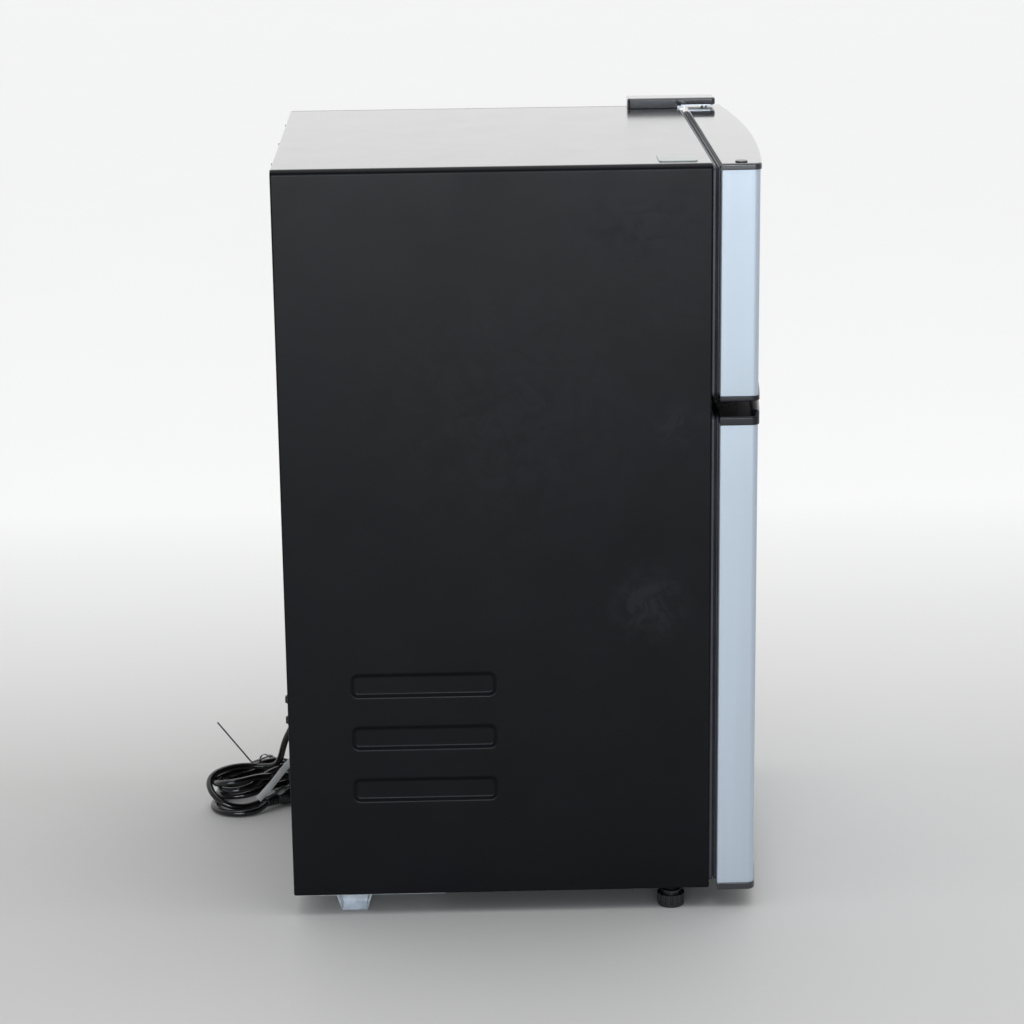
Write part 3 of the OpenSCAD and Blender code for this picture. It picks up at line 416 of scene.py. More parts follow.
def top_skin():
    hw = thi[0] - 0.0
    bm = bmesh.new()
    xs = [-hw, -hw + 0.05, -hw + 0.25, -hw + 0.6, -hw + 1.2] + frange(-hw + 3, -W2 + 15.6, 8) + frange(-W2 + 15.6, W2 - 15.6, 22)[1:]
    xs += frange(W2 - 15.6, hw - 3, 8)[1:] + [hw - 1.2, hw - 0.6, hw - 0.25, hw - 0.05, hw]
    edge = {0: 1.2, 1: 0.75, 2: 0.42, 3: 0.15, 4: 0.0}
    rf = 1.6
    sp = [(YF, a) for a in frange(15.5, rf, 7)][:-1]
    sp += [(YF + rf - rf * math.cos(t), rf - rf * math.sin(t)) for t in [math.pi / 2 * i / 5 for i in range(6)]]
    sp += [(y, 0.0) for y in frange(YF + rf, YB - rf, 24)[1:]]
    sp += [(YB - rf + rf * math.sin(t), rf - rf * math.cos(t)) for t in [math.pi / 2 * i / 5 for i in range(1, 6)]]
    sp += [(YB, a) for a in frange(rf, 15.5, 7)][1:]
    grid = []
    n = len(xs)
    for i, x in enumerate(xs):
        row = []
        for (y, a) in sp:
            if a > rf and abs(x) > W2 - 15.55:
                row.append(None)
                continue
            k = min(i, n - 1 - i)
            d = max(edge.get(k, 0.0), a)
            row.append(bm.verts.new((x, y, ZT - d)))
        grid.append(row)
    for i in range(n - 1):
        for j in range(len(sp) - 1):
            q = [grid[i][j], grid[i + 1][j], grid[i + 1][j + 1], grid[i][j + 1]]
            if None not in q:
                bm.faces.new(q)
    o = put(bm, "top_skin", "black_top", replaces=("top_panel",), sharp=50, weld=None)
    solid(o, 0.8)
    return o


top_skin()


# ------------------------------------------------------------ doors
YDR = box("freezer_cap_top")[1][1]
YAP = box("freezer_cap_top")[0][1]
BULGE = 12.5
CR = 8.5


def outline(d, n_front=56, n_corner=9, rear=0.0, rear_r=0.0):
    """Plan of a door: flat rear, flat sides, round front corners, bulged front, inset by d."""
    hw, ya, r = W2 - d, YAP + d, max(CR - d, 0.8)
    R = (W2 * W2 + BULGE * BULGE) / (2 * BULGE) - d
    C = ya + R
    cx = hw - r
    cy = C - math.sqrt((R - r) ** 2 - cx * cx)
    th = math.degrees(math.atan2(cy - C, -cx)) + 360
    yr = YDR - rear
    pts = []
    if rear_r > 0:
        pts += arc(-hw + rear_r, yr - rear_r, rear_r, 90, 180, 4)
    else:
        pts += [(-hw, yr)]
    pts += arc(-cx, cy, r, 180, th, n_corner)
    for i in range(1, n_front):
        a = math.radians(th + (540 - 2 * th) * i / n_front)
        pts.append((R * math.cos(a), C + R * math.sin(a)))
    pts += arc(cx, cy, r, 540 - th, 360, n_corner)
    if rear_r > 0:
        pts += arc(hw - rear_r, yr - rear_r, rear_r, 0, 90, 4)
    else:
        pts += [(hw, yr)]
    return pts


def door_wrap(name, node, body):
    a, b = box(node)
    z0, z1 = a[2] + 0.05, b[2] - 0.05
    p = outline(1.5, rear=0.0, rear_r=1.5)
    gx = W2 - 14 + 0.4
    p = [(-gx, YDR), (-gx - 4, YDR)] + p + [(gx + 4, YDR), (gx, YDR)]
    rows = []
    for z in frange(z0, z1, 60):
        rows.append([(x, y, z) for x, y in p])
    bm = loops(rows, False, False, closed=False)
    for f in bm.faces:
        f.normal_update()
    front = [f for f in bm.faces if f.calc_center_median().y < YAP + 14]
    if sum(f.normal.y for f in front) > 0:
        bmesh.ops.reverse_faces(bm, faces=bm.faces)
    o = put(bm, name, "silver_steel", body=body, replaces=(node,), sharp=50, weld=None)
    solid(o, 0.8)
    return o


door_wrap("freezer_door_wrap", "freezer_door_panel", "freezer_door")
door_wrap("fridge_door_wrap", "fridge_door_panel", "fridge_door")


def cap(name, node, body, z0, z1, r_out=2.2, up=True, extra=None, mat="black_cap"):
    """Moulded end cap, rounded along its outer edge; up says which face is the free one."""
    s = 1 if up else -1
    zi, zo = (z0, z1) if up else (z1, z0)
    prof = [(2.2, zi), (0.5, zi), (0.12, zi + s * 0.35), (0.0, zi + s * 0.8)]
    h = abs(z1 - z0)
    prof += [(r_out - r_out * math.cos(t), zo - s * r_out + s * r_out * math.sin(t)) for t in [math.pi / 2 * i / 7 for i in range(8)]]
    rows = []
    for d, z in prof:
        rows.append([(x, y, z) for x, y in outline(d, rear=min(d, 1.2) * 0.6)])
    bm = loops(rows)
    if extra:
        extra(bm)
    fix_normals(bm)
    return put(bm, name, mat, body=body, replaces=(node,), sharp=40)


a, b = box("freezer_cap_top")
HX, HY = W2 - 13, -232.0


def post(bm, x, y, za, zb, r=9.0):
    rows = [[(x + rad * math.cos(2 * math.pi * i / 32), y + rad * math.sin(2 * math.pi * i / 32), z) for i in range(32)]
            for rad, z in ((r - 0.6, za), (r, za + 0.6), (r, zb))]
    loops(rows, bm=bm)


cap("freezer_cap_upper", "freezer_cap_top", "freezer_door", ZT - 7, ZT)
ca, cb = box("freezer_cap_bottom")
# this cap faces the gap between the doors: it takes the darkened copy of the cap plastic, painted shade
cap("freezer_cap_lower", "freezer_cap_bottom", "freezer_door", ca[2], ca[2] + 6, r_out=2.0, up=False, mat="gap_shaded_black")
ga, gb = box("fridge_cap_bottom")
cap("fridge_cap_lower", "fridge_cap_bottom", "fridge_door", ga[2], ga[2] + 8.4, r_out=2.4, up=False)


def fridge_cap():
    lo_, hi_ = box("fridge_cap_top")
    z1 = box("fridge_door_panel")[1][2] + 10
    z0 = z1 - 10
    lip = max(hi_[2] - z1, 0.5)
    prof = [(2.2, z0), (0.5, z0), (0.12, z0 + 0.35), (0.0, z0 + 0.8)]
    prof += [(2.6 - 2.6 * math.cos(t), z1 - 2.6 + 2.6 * math.sin(t)) for t in [math.pi / 2 * i / 7 for i in range(8)]]
    rows = [[(x, y, z) for x, y in outline(d, rear=min(d, 1.2) * 0.6)] for d, z in prof]
    bm = loops(rows, True, False)
    bm.verts.ensure_lookup_table()
    n = len(rows[0])
    outer = [bm.verts[len(bm.verts) - n + i] for i in range(n)]
    k = 7

    def lp(x0, x1, y0, y1, r, z):
        return [bm.verts.new((x, y, z)) for x, y in rr(x0, x1, y0, y1, r, k)]

    def join(A, B_):
        m = len(A)
        for j in range(m):
            bm.faces.new((A[j], A[(j + 1) % m], B_[(j + 1) % m], B_[j]))

    def between(A, B_):
        es = []
        for ring in (A, B_):
            m = len(ring)
            for j in range(m):
                v, w = ring[j], ring[(j + 1) % m]
                e = bm.edges.get((v, w)) or bm.edges.new((v, w))
                es.append(e)
        bmesh.ops.triangle_fill(bm, use_beauty=True, use_dissolve=False, edges=es)

    X, ya, yb = 136.0, -251.5, -217.0
    r0 = lp(-X - 1, X + 1, ya - 1, yb + 1, 11, z1)
    r1 = lp(-X - 0.3, X + 0.3, ya - 0.3, yb + 0.3, 10.3, z1 - 0.3)
    r2 = lp(-X, X, ya, yb, 10, z1 - 1)
    r3 = lp(-X, X, ya, yb, 10, z1 - 3.4)
    r4 = lp(-X + 0.6, X - 0.6, ya + 0.6, yb - 0.6, 9.4, z1 - 4)
    between(outer, r0)
    for A, B_ in ((r0, r1), (r1, r2), (r2, r3), (r3, r4)):
        join(A, B_)
    P, pa, pb = 120.0, -250.0, -222.0
    q0 = lp(-P - 0.8, P + 0.8, pa - 0.8, pb + 0.8, 6.8, z1 - 4)
    q1 = lp(-P, P, pa, pb, 6, z1 - 4.8)
    q2 = lp(-P, P, pa, pb, 6, z1 - 18)
    q3 = lp(-P + 3, P - 3, pa + 3, pb - 3, 4, z1 - 21)
    between(r4, q0)
    for A, B_ in ((q0, q1), (q1, q2), (q2, q3)):
        join(A, B_)
    bm.faces.new(q3)
    # raised front lip, running out at both corners
    sec = [(0.0, -1.2)] + [(2.4 - 2.4 * math.cos(t), lip - 2.4 + 2.4 * math.sin(t)) for t in [math.pi / 2 * i / 6 for i in range(7)]]
    sec += [(6.8 + 2.2 * math.sin(t), lip - 2.2 + 2.2 * math.cos(t)) for t in [math.pi / 2 * i / 5 for i in range(6)]] + [(9.0, -1.2)]
    curves = [outline(d)[1:-1] for d, _ in sec]
    m = len(curves[0])
    rows = []
    for i in range(m):
        k = smooth01((min(i, m - 1 - i) + 0.6) / 8.0)
        rows.append([(c[i][0], c[i][1], z1 - 1.2 + (zz + 1.2) * k) for c, (_, zz) in zip(curves, sec)])
    loops(rows, bm=bm)
    fix_normals(bm)
    # this cap faces the gap between the doors: it takes the darkened copy of the cap plastic, painted shade
    return put(bm, "fridge_cap_upper", "gap_shaded_black", body="fridge_door", replaces=("fridge_cap_top",), sharp=40)


fridge_cap()


# ------------------------------------------------------------ door seals
def seal(name, node, body):
    lo_, hi_ = box(node)
    hx_, z0, z1 = hi_[0], lo_[2], hi_[2]
    prof = [(15, -210.45), (1.7, -210.45), (1.3, -209.9), (1.25, -209.1), (1.6, -208.3), (3.2, -207.8), (3.7, -207.2), (3.3, -206.6),
            (0.9, -206.25), (0.25, -205.7), (0.02, -204.9), (0.02, -203.2), (0.3, -202.4), (1.0, -201.95), (2.4, -201.82), (8, -201.85),
            (12.6, -201.85), (14.2, -202.2), (15.0, -203.2), (14.2, -205.4), (13.2, -207.0), (15, -208.6)]
    rows = []
    for d, y in prof:
        rows.append([(x, y, z) for x, z in rr(-hx_ + d, hx_ - d, z0 + d, z1 - d, max(6 - d, 1.0) if d < 5 else 4, 6)])
    rows.append(rows[0])
    bm = loops(rows, False, False)
    bmesh.ops.remove_doubles(bm, verts=bm.verts, dist=1e-4)
    fix_normals(bm)
    return put(bm, name, "seal_rubber", body=body, replaces=(node,), sharp=60)


seal("freezer_seal", "freezer_door_gasket", "freezer_door")
seal("fridge_seal", "fridge_door_gasket", "fridge_door")


# ------------------------------------------------------------ top hinge cover
def hinge_cover():
    lo_, hi_ = box("top_hinge_cover")
    x0, x1, y0, y1, z1 = lo_[0], hi_[0], lo_[1], hi_[1], hi_[2]
    ycut = -199.0

    def ring(d, z=None, base=False, off=0.0):
        pts = rr(x0 + d, x1 - d, y0 + d, y1 - d, max(4.5 - d, 0.8), 8)
        out = []
        m = len(pts)
        for i in range(m):
            ax, ay = pts[i]
            bx, by = pts[(i + 1) % m]
            out.append((ax, ay))
            if abs(by - ay) > 20:
                for f_ in (ycut - 0.6, ycut + 0.6) if by > ay else (ycut + 0.6, ycut - 0.6):
                    t = (f_ - ay) / (by - ay)
                    out.append((ax + (bx - ax) * t, f_))
        return [(x, y, (lo_[2] + off if y > ycut else lo_[2] + 4 + off) if base else z) for x, y in out]

    rows = [ring(2.0, z=z1 - 2), ring(2.0, base=True), ring(0.5, base=True), ring(0.0, base=True, off=0.5), ring(0.0, z=z1 - 2.6)]
    rows += [ring(2.6 - 2.6 * math.cos(t), z=z1 - 2.6 + 2.6 * math.sin(t)) for t in [math.pi / 2 * i / 6 for i in range(1, 7)]]
    bm = loops(rows)
    fix_normals(bm)
    return put(bm, "hinge_cover", "black_cap", body="cabinet", replaces=("top_hinge_cover",), sharp=40)


hinge_cover()

# ------------------------------------------------------------ power cord
GX, GY = [(p + q) / 2 for p, q in zip(*box("cord_grip"))][:2]
GZ = box("cord_grip")[0][2]
HC = (137.0, 327.0)
HA = math.radians(-44)
HL, HW, HH = 73.0, 30.0, 44.0
CD = 8.0


def on_hank(u, v, z):
    return (HC[0] + u * math.cos(HA) - v * math.sin(HA), HC[1] + u * math.sin(HA) + v * math.cos(HA), z)


def to_hank(x, y, z):
    dx, dy = x - HC[0], y - HC[1]
    return (dx * math.cos(HA) + dy * math.sin(HA), -dx * math.sin(HA) + dy * math.cos(HA), z)


def cord_path():
    route = [(GX, GY, GZ), (GX, GY + 2, 160), (131, 262, 125), (136, 279, 95), (142, 291, 70), (148, 304, HH + 9)]
    P = [to_hank(*p) for p in route]
    P += [(20.5, 1, 43.5), (12, 13, 41.5), (0, 21, 40.2)]
    half = HW - CD / 2
    # one row for each turn: level on the far side, level on the near side, reach at the left end and at the right end
    turns = [(39.5, 4.2, 69, 69), (30.5, 38.5, 62, 60.5), (22, 29.5, 55, 62), (13, 20.5, 50, 60)]
    right = [4.2, 25.0, 38.0, 12.0]
    zr = [t[0] for t in turns] + [4.0]
    for k, (zf, zn, ul, ur) in enumerate(turns):
        nxt = zr[k + 1]
        if k == 0:
            P += [(u, half, zf) for u in (-18, -32)]
        else:
            P += [(u, half, zf) for u in (20, 0, -20)]
        cl = -(ul - half)
        P += [(cl - half * math.sin(t), half * math.cos(t), zf + (zn - zf) * smooth01((i + 1) / 10)) for i, t in
              enumerate([math.pi * j / 9 for j in range(10)])]
        zq = right[k]
        P += [(u, -half + (8.6 if k == 2 else 0) * math.cos(u / 40) ** 2, zn + (zq - zn) * smooth01((u + 45) / 90)) for u in (-30, -10, 10, 30)]
        cr_ = ur - half
        P += [(cr_ + half * math.sin(t), -half * math.cos(t), zq + (nxt - zq) * smooth01((i + 1) / 10)) for i, t in
              enumerate([math.pi * j / 9 for j in range(10)])]
    P += [(u, half, 4) for u in (20, 0, -20)]
    R = 34.5
    P += [(-34 - R * math.sin(t), half - R + R * math.cos(t), 4) for t in [math.pi * j / 10 for j in range(11)]]
    P += [(-30, half - 2 * R, 6.5), (-24, half - 2 * R, 9.6), (-17, half - 2 * R, 11)]
    P = np.array(P, float)

    def resample(P, step):
        seg = np.linalg.norm(np.diff(P, axis=0), axis=1)
        s = np.concatenate([[0], np.cumsum(seg)])
        n = int(round(s[-1] / step))
        t = np.linspace(0, s[-1], n + 1)
        return np.stack([np.interp(t, s, P[:, k]) for k in range(3)], 1)

    P = resample(P, 5.0)
    n = len(P)
    rest = np.linalg.norm(np.diff(P, axis=0), axis=1)
    idx = np.arange(n)
    near = np.abs(idx[:, None] - idx[None, :]) < 5
    fixed = np.zeros(n, bool)
    fixed[:27] = True
    fixed[-4:] = True
    P0 = P.copy()
    hank = idx > 30
    tail = idx > n - 24
    rng = np.random.RandomState(7)
    wob = rng.uniform(-1, 1, (n, 3))
    ker = np.exp(-np.linspace(-2, 2, 17) ** 2)
    wob = np.stack([np.convolve(wob[:, k], ker, "same") for k in range(3)], 1) * 1.5
    P[hank & ~tail] += wob[hank & ~tail]
    for it in range(420):
        D = P[:, None, :] - P[None, :, :]
        dist = np.linalg.norm(D, axis=2)
        dist[near] = 99
        over = np.clip(CD + 0.15 - dist, 0, None)
        push = (D / np.maximum(dist, 1e-6)[:, :, None] * over[:, :, None]).sum(1)
        P = P + np.where(fixed[:, None], 0, 0.28 * push)
        lap = np.zeros_like(P)
        lap[2:-2] = (4 * (P[1:-3] + P[3:-1]) - (P[:-4] + P[4:])) / 6 - P[2:-2]
        P = P + np.where(fixed[:, None], 0, 0.55 * lap)
        # the tie draws the runs together
        waist = 1 - 0.13 * np.exp(-((P[:, 0] - 31.5) / 24.0) ** 2)
        vmax = half * waist
        cl = hank & ~tail
        P[cl, 1] = np.clip(P[cl, 1], -vmax[cl], vmax[cl])
        P[cl, 0] = np.clip(P[cl, 0], -69.0, 69.0)
        P[:, 2] = np.maximum(P[:, 2], CD / 2 + 0.1)
        P[hank, 2] = np.minimum(P[hank, 2], HH - CD / 2)
        for _ in range(2):
            d = np.diff(P, axis=0)
            ln = np.linalg.norm(d, axis=1)
            corr = (d / ln[:, None]) * ((ln - rest) * 0.25)[:, None]
            mv = np.zeros_like(P)
            mv[:-1] += corr
            mv[1:] -= corr
            P = P + np.where(fixed[:, None], 0, mv)
        P[:27] = P0[:27]
        P[-4:] = P0[-4:]
    for _ in range(3):
        Q = P.copy()
        Q[1:-1] = P[1:-1] * 0.5 + 0.25 * (P[:-2] + P[2:])
        Q[:2], Q[-2:] = P[:2], P[-2:]
        P = Q
    W = [on_hank(*p) for p in P]
    L_ = sum(math.dist(p, q) for p, q in zip(W, W[1:]))
    return W, L_


CORD, CORD_LEN = cord_path()
print("cord length", round(CORD_LEN))


def curve_tube(name, pts, radius, mat, body="cabinet", res=5, spline="NURBS"):
    cu = bpy.data.curves.new(name, "CURVE")
    cu.dimensions = "3D"
    cu.bevel_depth = radius / 1000
    cu.bevel_resolution = res
    cu.use_fill_caps = True
    s = cu.splines.new(spline)
    s.points.add(len(pts) - 1)
    for p, q in zip(s.points, pts):
        p.co = (q[0] / 1000, q[1] / 1000, q[2] / 1000, 1)
    if spline == "NURBS":
        s.order_u = 3
        s.use_endpoint_u = True
        s.resolution_u = 3
    o = bpy.data.objects.new(name, cu)
    scene.collection.objects.link(o)
    cu.materials.append(M[mat])
    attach(o, body)
    return o


cord = curve_tube("cord", CORD, CD / 2, "black_rubber")
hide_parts("power_cord", "cord_hank")


def loft(path, radii, seg=24, cap=True, bm=None, squash=None):
    """Rings of given radii along path points (round section, or radii pairs)."""
    rows = []
    n = len(path)
    ref = None
    for i, p in enumerate(path):
        a_ = Vector(path[max(i - 1, 0)])
        b_ = Vector(path[min(i + 1, n - 1)])
        t = (b_ - a_).normalized()
        if ref is None:
            ref = Vector((0, 0, 1)) if abs(t.z) < 0.9 else Vector((1, 0, 0))
        s = (ref - t * ref.dot(t)).normalized()
        ref = s
        w = t.cross(s)
        ra, rb_ = radii[i] if isinstance(radii[i], tuple) else (radii[i], radii[i])
        e = squash if squash else 2.0
        row = []
        for k in range(seg):
            ang = 2 * math.pi * k / seg
            c, sn = math.cos(ang), math.sin(ang)
            c = math.copysign(abs(c) ** (2 / e), c)
            sn = math.copysign(abs(sn) ** (2 / e), sn)
            q = Vector(p) + s * (ra * sn) + w * (rb_ * c)
            row.append(tuple(q))
        rows.append(row)
    return loops(rows, cap, cap, bm=bm)


# grip with its tapered strain relief
def grip():
    zt = box("cord_grip")[1][2]
    bm = bmesh.new()
    rows = []
    for d, z in ((0.8, zt - 9), (0.0, zt - 8.2), (0.0, zt - 0.6), (0.6, zt)):
        rows.append([(x, y, z) for x, y in rr(GX - 14 + d, GX + 14 - d, GY - 12 + d, GY + 12 - d, 3, 5)])
    loops(rows, bm=bm)
    zs_, rs_ = [], []
    top = zt - 8.5
    n = 9
    for i in range(n):
        za = top - (top - GZ) * i / n
        zb = top - (top - GZ) * (i + 1) / n
        r = 9.0 - 3.6 * (i / (n - 1))
        for z, q in ((za, r), (za - (za - zb) * 0.55, r), (za - (za - zb) * 0.62, r - 1.1), (zb + 0.1, r - 1.1)):
            zs_.append(z)
            rs_.append(q)
    zs_.append(GZ + 0.02)
    rs_.append(4.35)
    loft([(GX, GY, z) for z in zs_], rs_, 28, bm=bm)
    fix_normals(bm)
    return put(bm, "cord_strain_relief", "black_rubber", replaces=("cord_grip",), sharp=35)


grip_o = grip()


def plug():
    pv = -HW - 13
    prof = [(-24, 4.5, 4.5), (-23.6, 5.2, 5.2)]
    n = 5
    for i in range(n):
        ua = -23.4 + 18 * i / n
        r = 5.3 + 1.5 * i / (n - 1)
        prof += [(ua, r, r), (ua + 2.1, r, r), (ua + 2.3, r - 0.9, r - 0.9), (ua + 3.3, r - 0.9, r - 0.9)]
    prof += [(-4, 7.0, 7.2), (0, 8.8, 9.4), (4, 10.0, 11.2), (10, 10.8, 12.2), (20, 10.9, 12.5), (32, 10.9, 12.7), (35, 10.7, 12.5), (36, 10.0, 11.7)]
    path = [on_hank(u, pv, 11.05) for u, _, _ in prof]
    bm = loft(path, [(p[1], p[2]) for p in prof], 36, squash=2.7)
    fix_normals(bm)
    o = put(bm, "plug_body", "black_rubber", replaces=("power_plug",), sharp=35)
    bm = bmesh.new()
    for dv in (-6.35, 6.35):
        rows = []
        for u, s in ((35, 1.0), (53.6, 1.0), (54.8, 0.72)):
            rows.append([on_hank(u, pv + dv + a_, 16.1 + b_) for a_, b_ in rr(-0.75 * s, 0.75 * s, -3.2 * s, 3.2 * s, 0.3, 3)])
        loops(rows, bm=bm)
    rows = []
    for u, s in ((35, 1.0), (52, 1.0), (54.2, 0.8), (55, 0.4)):
        rows.append([on_hank(u, pv + 2.3 * s * math.cos(2 * math.pi * i / 20), 5.6 + 2.3 * s * math.sin(2 * math.pi * i / 20)) for i in range(20)])
    loops(rows, bm=bm)
    fix_normals(bm)
    pins = put(bm, "plug_blades", "nickel", sharp=35)
    return o, pins


plug_o, pins_o = plug()


def tie():
    bm = bmesh.new()
    w = 27.0
    sec = rr(-w, w, 0.3, 44.2, 12, 8)
    sec_in = rr(-w + 0.8, w - 0.8, 1.1, 43.4, 11.2, 8)
    rows = []
    for s, u in ((sec, 30.2), (sec, 32.8), (sec_in, 32.8), (sec_in, 30.2), (sec, 30.2)):
        rows.append([on_hank(u, v, z) for v, z in s])
    loops(rows, False, False, bm=bm)
    # lock head, then the strap's free end: along the top and straight up and away
    rows = []
    for k, d in ((29.4, 0.5), (29.4, 0), (33.6, 0), (33.6, 0.5)):
        rows.append([on_hank(k, v, z) for v, z in rr(4.5 + d, 10.5 - d, 42.4 + d, 44.9 - d, 0.6, 3)])
    loops(rows, bm=bm)
    a_, b_ = Vector((143, 332, 44.0)), Vector((139, 372, 98.6))
    c_ = Vector(on_hank(29.5, 7.5, 44.0))
    pth = [tuple(c_ + (a_ - c_) * i / 6) for i in range(6)]
    pth += [tuple(a_ + (b_ - a_) * i / 14) for i in range(15)]
    loft(pth, [(1.0, 1.7)] * len(pth), 12, bm=bm)
    fix_normals(bm)
    return put(bm, "cord_tie_strap", "tie_grey", replaces=("cord_tie",), sharp=35)


tie_o = tie()


def tag():
    bm = bmesh.new()
    # one slim paper strip, laid along the near side of the runs from low outside to high beyond the tie
    ctl = [(-28, -33.8, 12.5), (-18, -32.8, 17), (-7, -33.2, 23.5), (3, -31.4, 28), (13, -31.0, 34.5), (23, -29.2, 39), (33, -29.8, 45.5), (45, -31, 51.5)]
    rows = []
    n = 28
    for i in range(n + 1):
        t = i / n * (len(ctl) - 1)
        k = min(int(t), len(ctl) - 2)
        f_ = t - k
        p0, p1, p2, p3 = (Vector(ctl[max(0, min(len(ctl) - 1, k + q))]) for q in (-1, 0, 1, 2))
        c = 0.5 * ((2 * p1) + (p2 - p0) * f_ + (2 * p0 - 5 * p1 + 4 * p2 - p3) * f_ ** 2 + (3 * p1 - p0 - 3 * p2 + p3) * f_ ** 3)
        row = []
        for j_ in range(7):
            w = (j_ / 6 - 0.5) * 11.0
            cup = 0.5 * (1 - (2 * j_ / 6 - 1) ** 2)
            row.append(on_hank(c.x - 0.66 * w, c.y - cup, c.z + 0.75 * w + 1.2))
        rows.append(row)
    loops(rows, False, False, closed=False, bm=bm)
    fix_normals(bm)
    o = put(bm, "cord_paper_tag", "paper", replaces=("cord_tag",), sharp=60)
    solid(o, 0.25, 0.0)
    return o


tag_o = tag()

# ------------------------------------------------------------ moulded door liners, bins and crisper
def door_liner(name, node, body):
    lo_, hi_ = box(node)
    gx, z0, z1 = hi_[0], lo_[2], hi_[2]
    dx = W2 - 40 - 12.0
    top = {"freezer_door_liner": (607.0, 783.0), "fridge_door_liner": (81.5, 538.0)}[node]
    ys = YDR
    spec = [(gx, z0, z1, ys - 1.0, 2), (gx, z0, z1, ys - 0.25, 2), (gx - 0.5, z0 + 0.5, z1 - 0.5, ys - 0.02, 2)]

    def ring(off, y, r):
        spec.append((dx - off, top[0] + off, top[1] - off, y, r))
    for t in range(6):
        a_ = math.pi / 2 * t / 5
        ring(-3.5 + 3.5 * math.sin(a_), ys + 3.5 - 3.5 * math.cos(a_), 13 - 3 * math.sin(a_))
    for t in range(6):
        a_ = math.pi / 2 * t / 5
        ring(3 - 3 * math.cos(a_), -183.2 + 3 * math.sin(a_), 10 - 1.5 * t / 5)
    for t in range(6):
        a_ = math.pi / 2 * t / 5
        ring(9 + 3 * math.sin(a_), -183.2 + 3 * math.cos(a_), 8)
    for t in range(6):
        a_ = math.pi / 2 * t / 5
        ring(12 + 4 - 4 * math.cos(a_), ys + 4.3 - 4 * math.sin(a_), 6)
    # a shallow panel line in the recess
    for off, y in ((34, ys + 0.3), (36, ys + 1.2), (40, ys + 1.2), (42, ys + 0.3)):
        ring(off, y, 8)
    rows = [[(x, y, z) for x, z in rr(-hw, hw, za, zb, r, 6)] for hw, za, zb, y, r in spec]
    bm = loops(rows)
    fix_normals(bm)
    return put(bm, name, "white_plastic", body=body, replaces=(node,), sharp=50)


door_liner("freezer_inner_door", "freezer_door_liner", "freezer_door")
door_liner("fridge_inner_door", "fridge_door_liner", "fridge_door")


def door_bin(name, node, body, zr, mat):
    lo_, hi_ = box(node)
    hx_, y0, y1, z0, z1 = hi_[0], lo_[1], hi_[1], lo_[2], hi_[2]

    def ring(d, z=None, dz=0.0, r=8.0):
        pts = rr(-hx_ + d, hx_ - d, y0 + d, y1 - d, max(r - d, 1.5), 7)
        full = []
        m = len(pts)
        for i in range(m):
            a_, b_ = pts[i], pts[(i + 1) % m]
            seg = 10 if math.dist(a_, b_) > 30 else 1
            for q in range(seg):
                full.append((a_[0] + (b_[0] - a_[0]) * q / seg, a_[1] + (b_[1] - a_[1]) * q / seg))
        out = []
        for x, y in full:
            zt = zr + (z1 - zr) * smooth01((y - (y1 - 34)) / 26)
            out.append((x, y, (zt + dz) if z is None else z))
        return out

    rows = [ring(3.0, z=z0), ring(0.9, z=z0 + 0.6), ring(0.0, z=z0 + 2.6), ring(0.0, dz=-0.8), ring(0.3, dz=-0.2), ring(0.9, dz=0),
            ring(1.6, dz=0), ring(2.2, dz=-0.2), ring(2.5, dz=-0.8), ring(2.5, z=z0 + 5.0), ring(3.4, z=z0 + 3.0), ring(5.5, z=z0 + 2.5)]
    bm = loops(rows)
    fix_normals(bm)
    return put(bm, name, mat, body=body, replaces=(node,), sharp=45)


door_bin("freezer_rack_moulded", "freezer_door_rack", "freezer_door", 667.0, "white_plastic")
door_bin("fridge_bin_upper_moulded", "fridge_bin_upper", "fridge_door", 412.0, "clear_plastic")
door_bin("fridge_bin_lower_moulded", "fridge_bin_lower", "fridge_door", 158.0, "clear_plastic")


def crisper():
    lo_, hi_ = box("crisper_drawer")
    hx_, y0, y1, z0, z1 = hi_[0], lo_[1], hi_[1], lo_[2], hi_[2]

    def ring(d, z=None, dz=0.0, r=8.0):
        pts = rr(-hx_ + d, hx_ - d, y0 + d, y1 - d, max(r - d, 2), 7)
        full = []
        m = len(pts)
        for i in range(m):
            a_, b_ = pts[i], pts[(i + 1) % m]
            seg = 24 if math.dist(a_, b_) > 30 else 1
            for q in range(seg):
                full.append((a_[0] + (b_[0] - a_[0]) * q / seg, a_[1] + (b_[1] - a_[1]) * q / seg))
        out = []
        for x, y in full:
            drop = 31 * (1 - smooth01((abs(x) - 52) / 16)) if y < y0 + 8 else 0
            out.append((x, y, (z1 - drop + dz) if z is None else z))
        return out

    rows = [ring(7, z=z0), ring(4.0, z=z0 + 0.8), ring(3.2, z=z0 + 3.5), ring(3.0, dz=-6), ring(0.6, dz=-6), ring(0, dz=-5.4), ring(0, dz=-0.6), ring(0.6, dz=0),
            ring(4.6, dz=0), ring(5.4, dz=-0.8), ring(5.5, z=z0 + 6.5), ring(6.4, z=z0 + 3.6), ring(9.5, z=z0 + 2.6)]
    bm = loops(rows)
    fix_normals(bm)
    return put(bm, "crisper_moulded", "clear_plastic", body="crisper", replaces=("crisper_drawer",), sharp=45)


crisper()

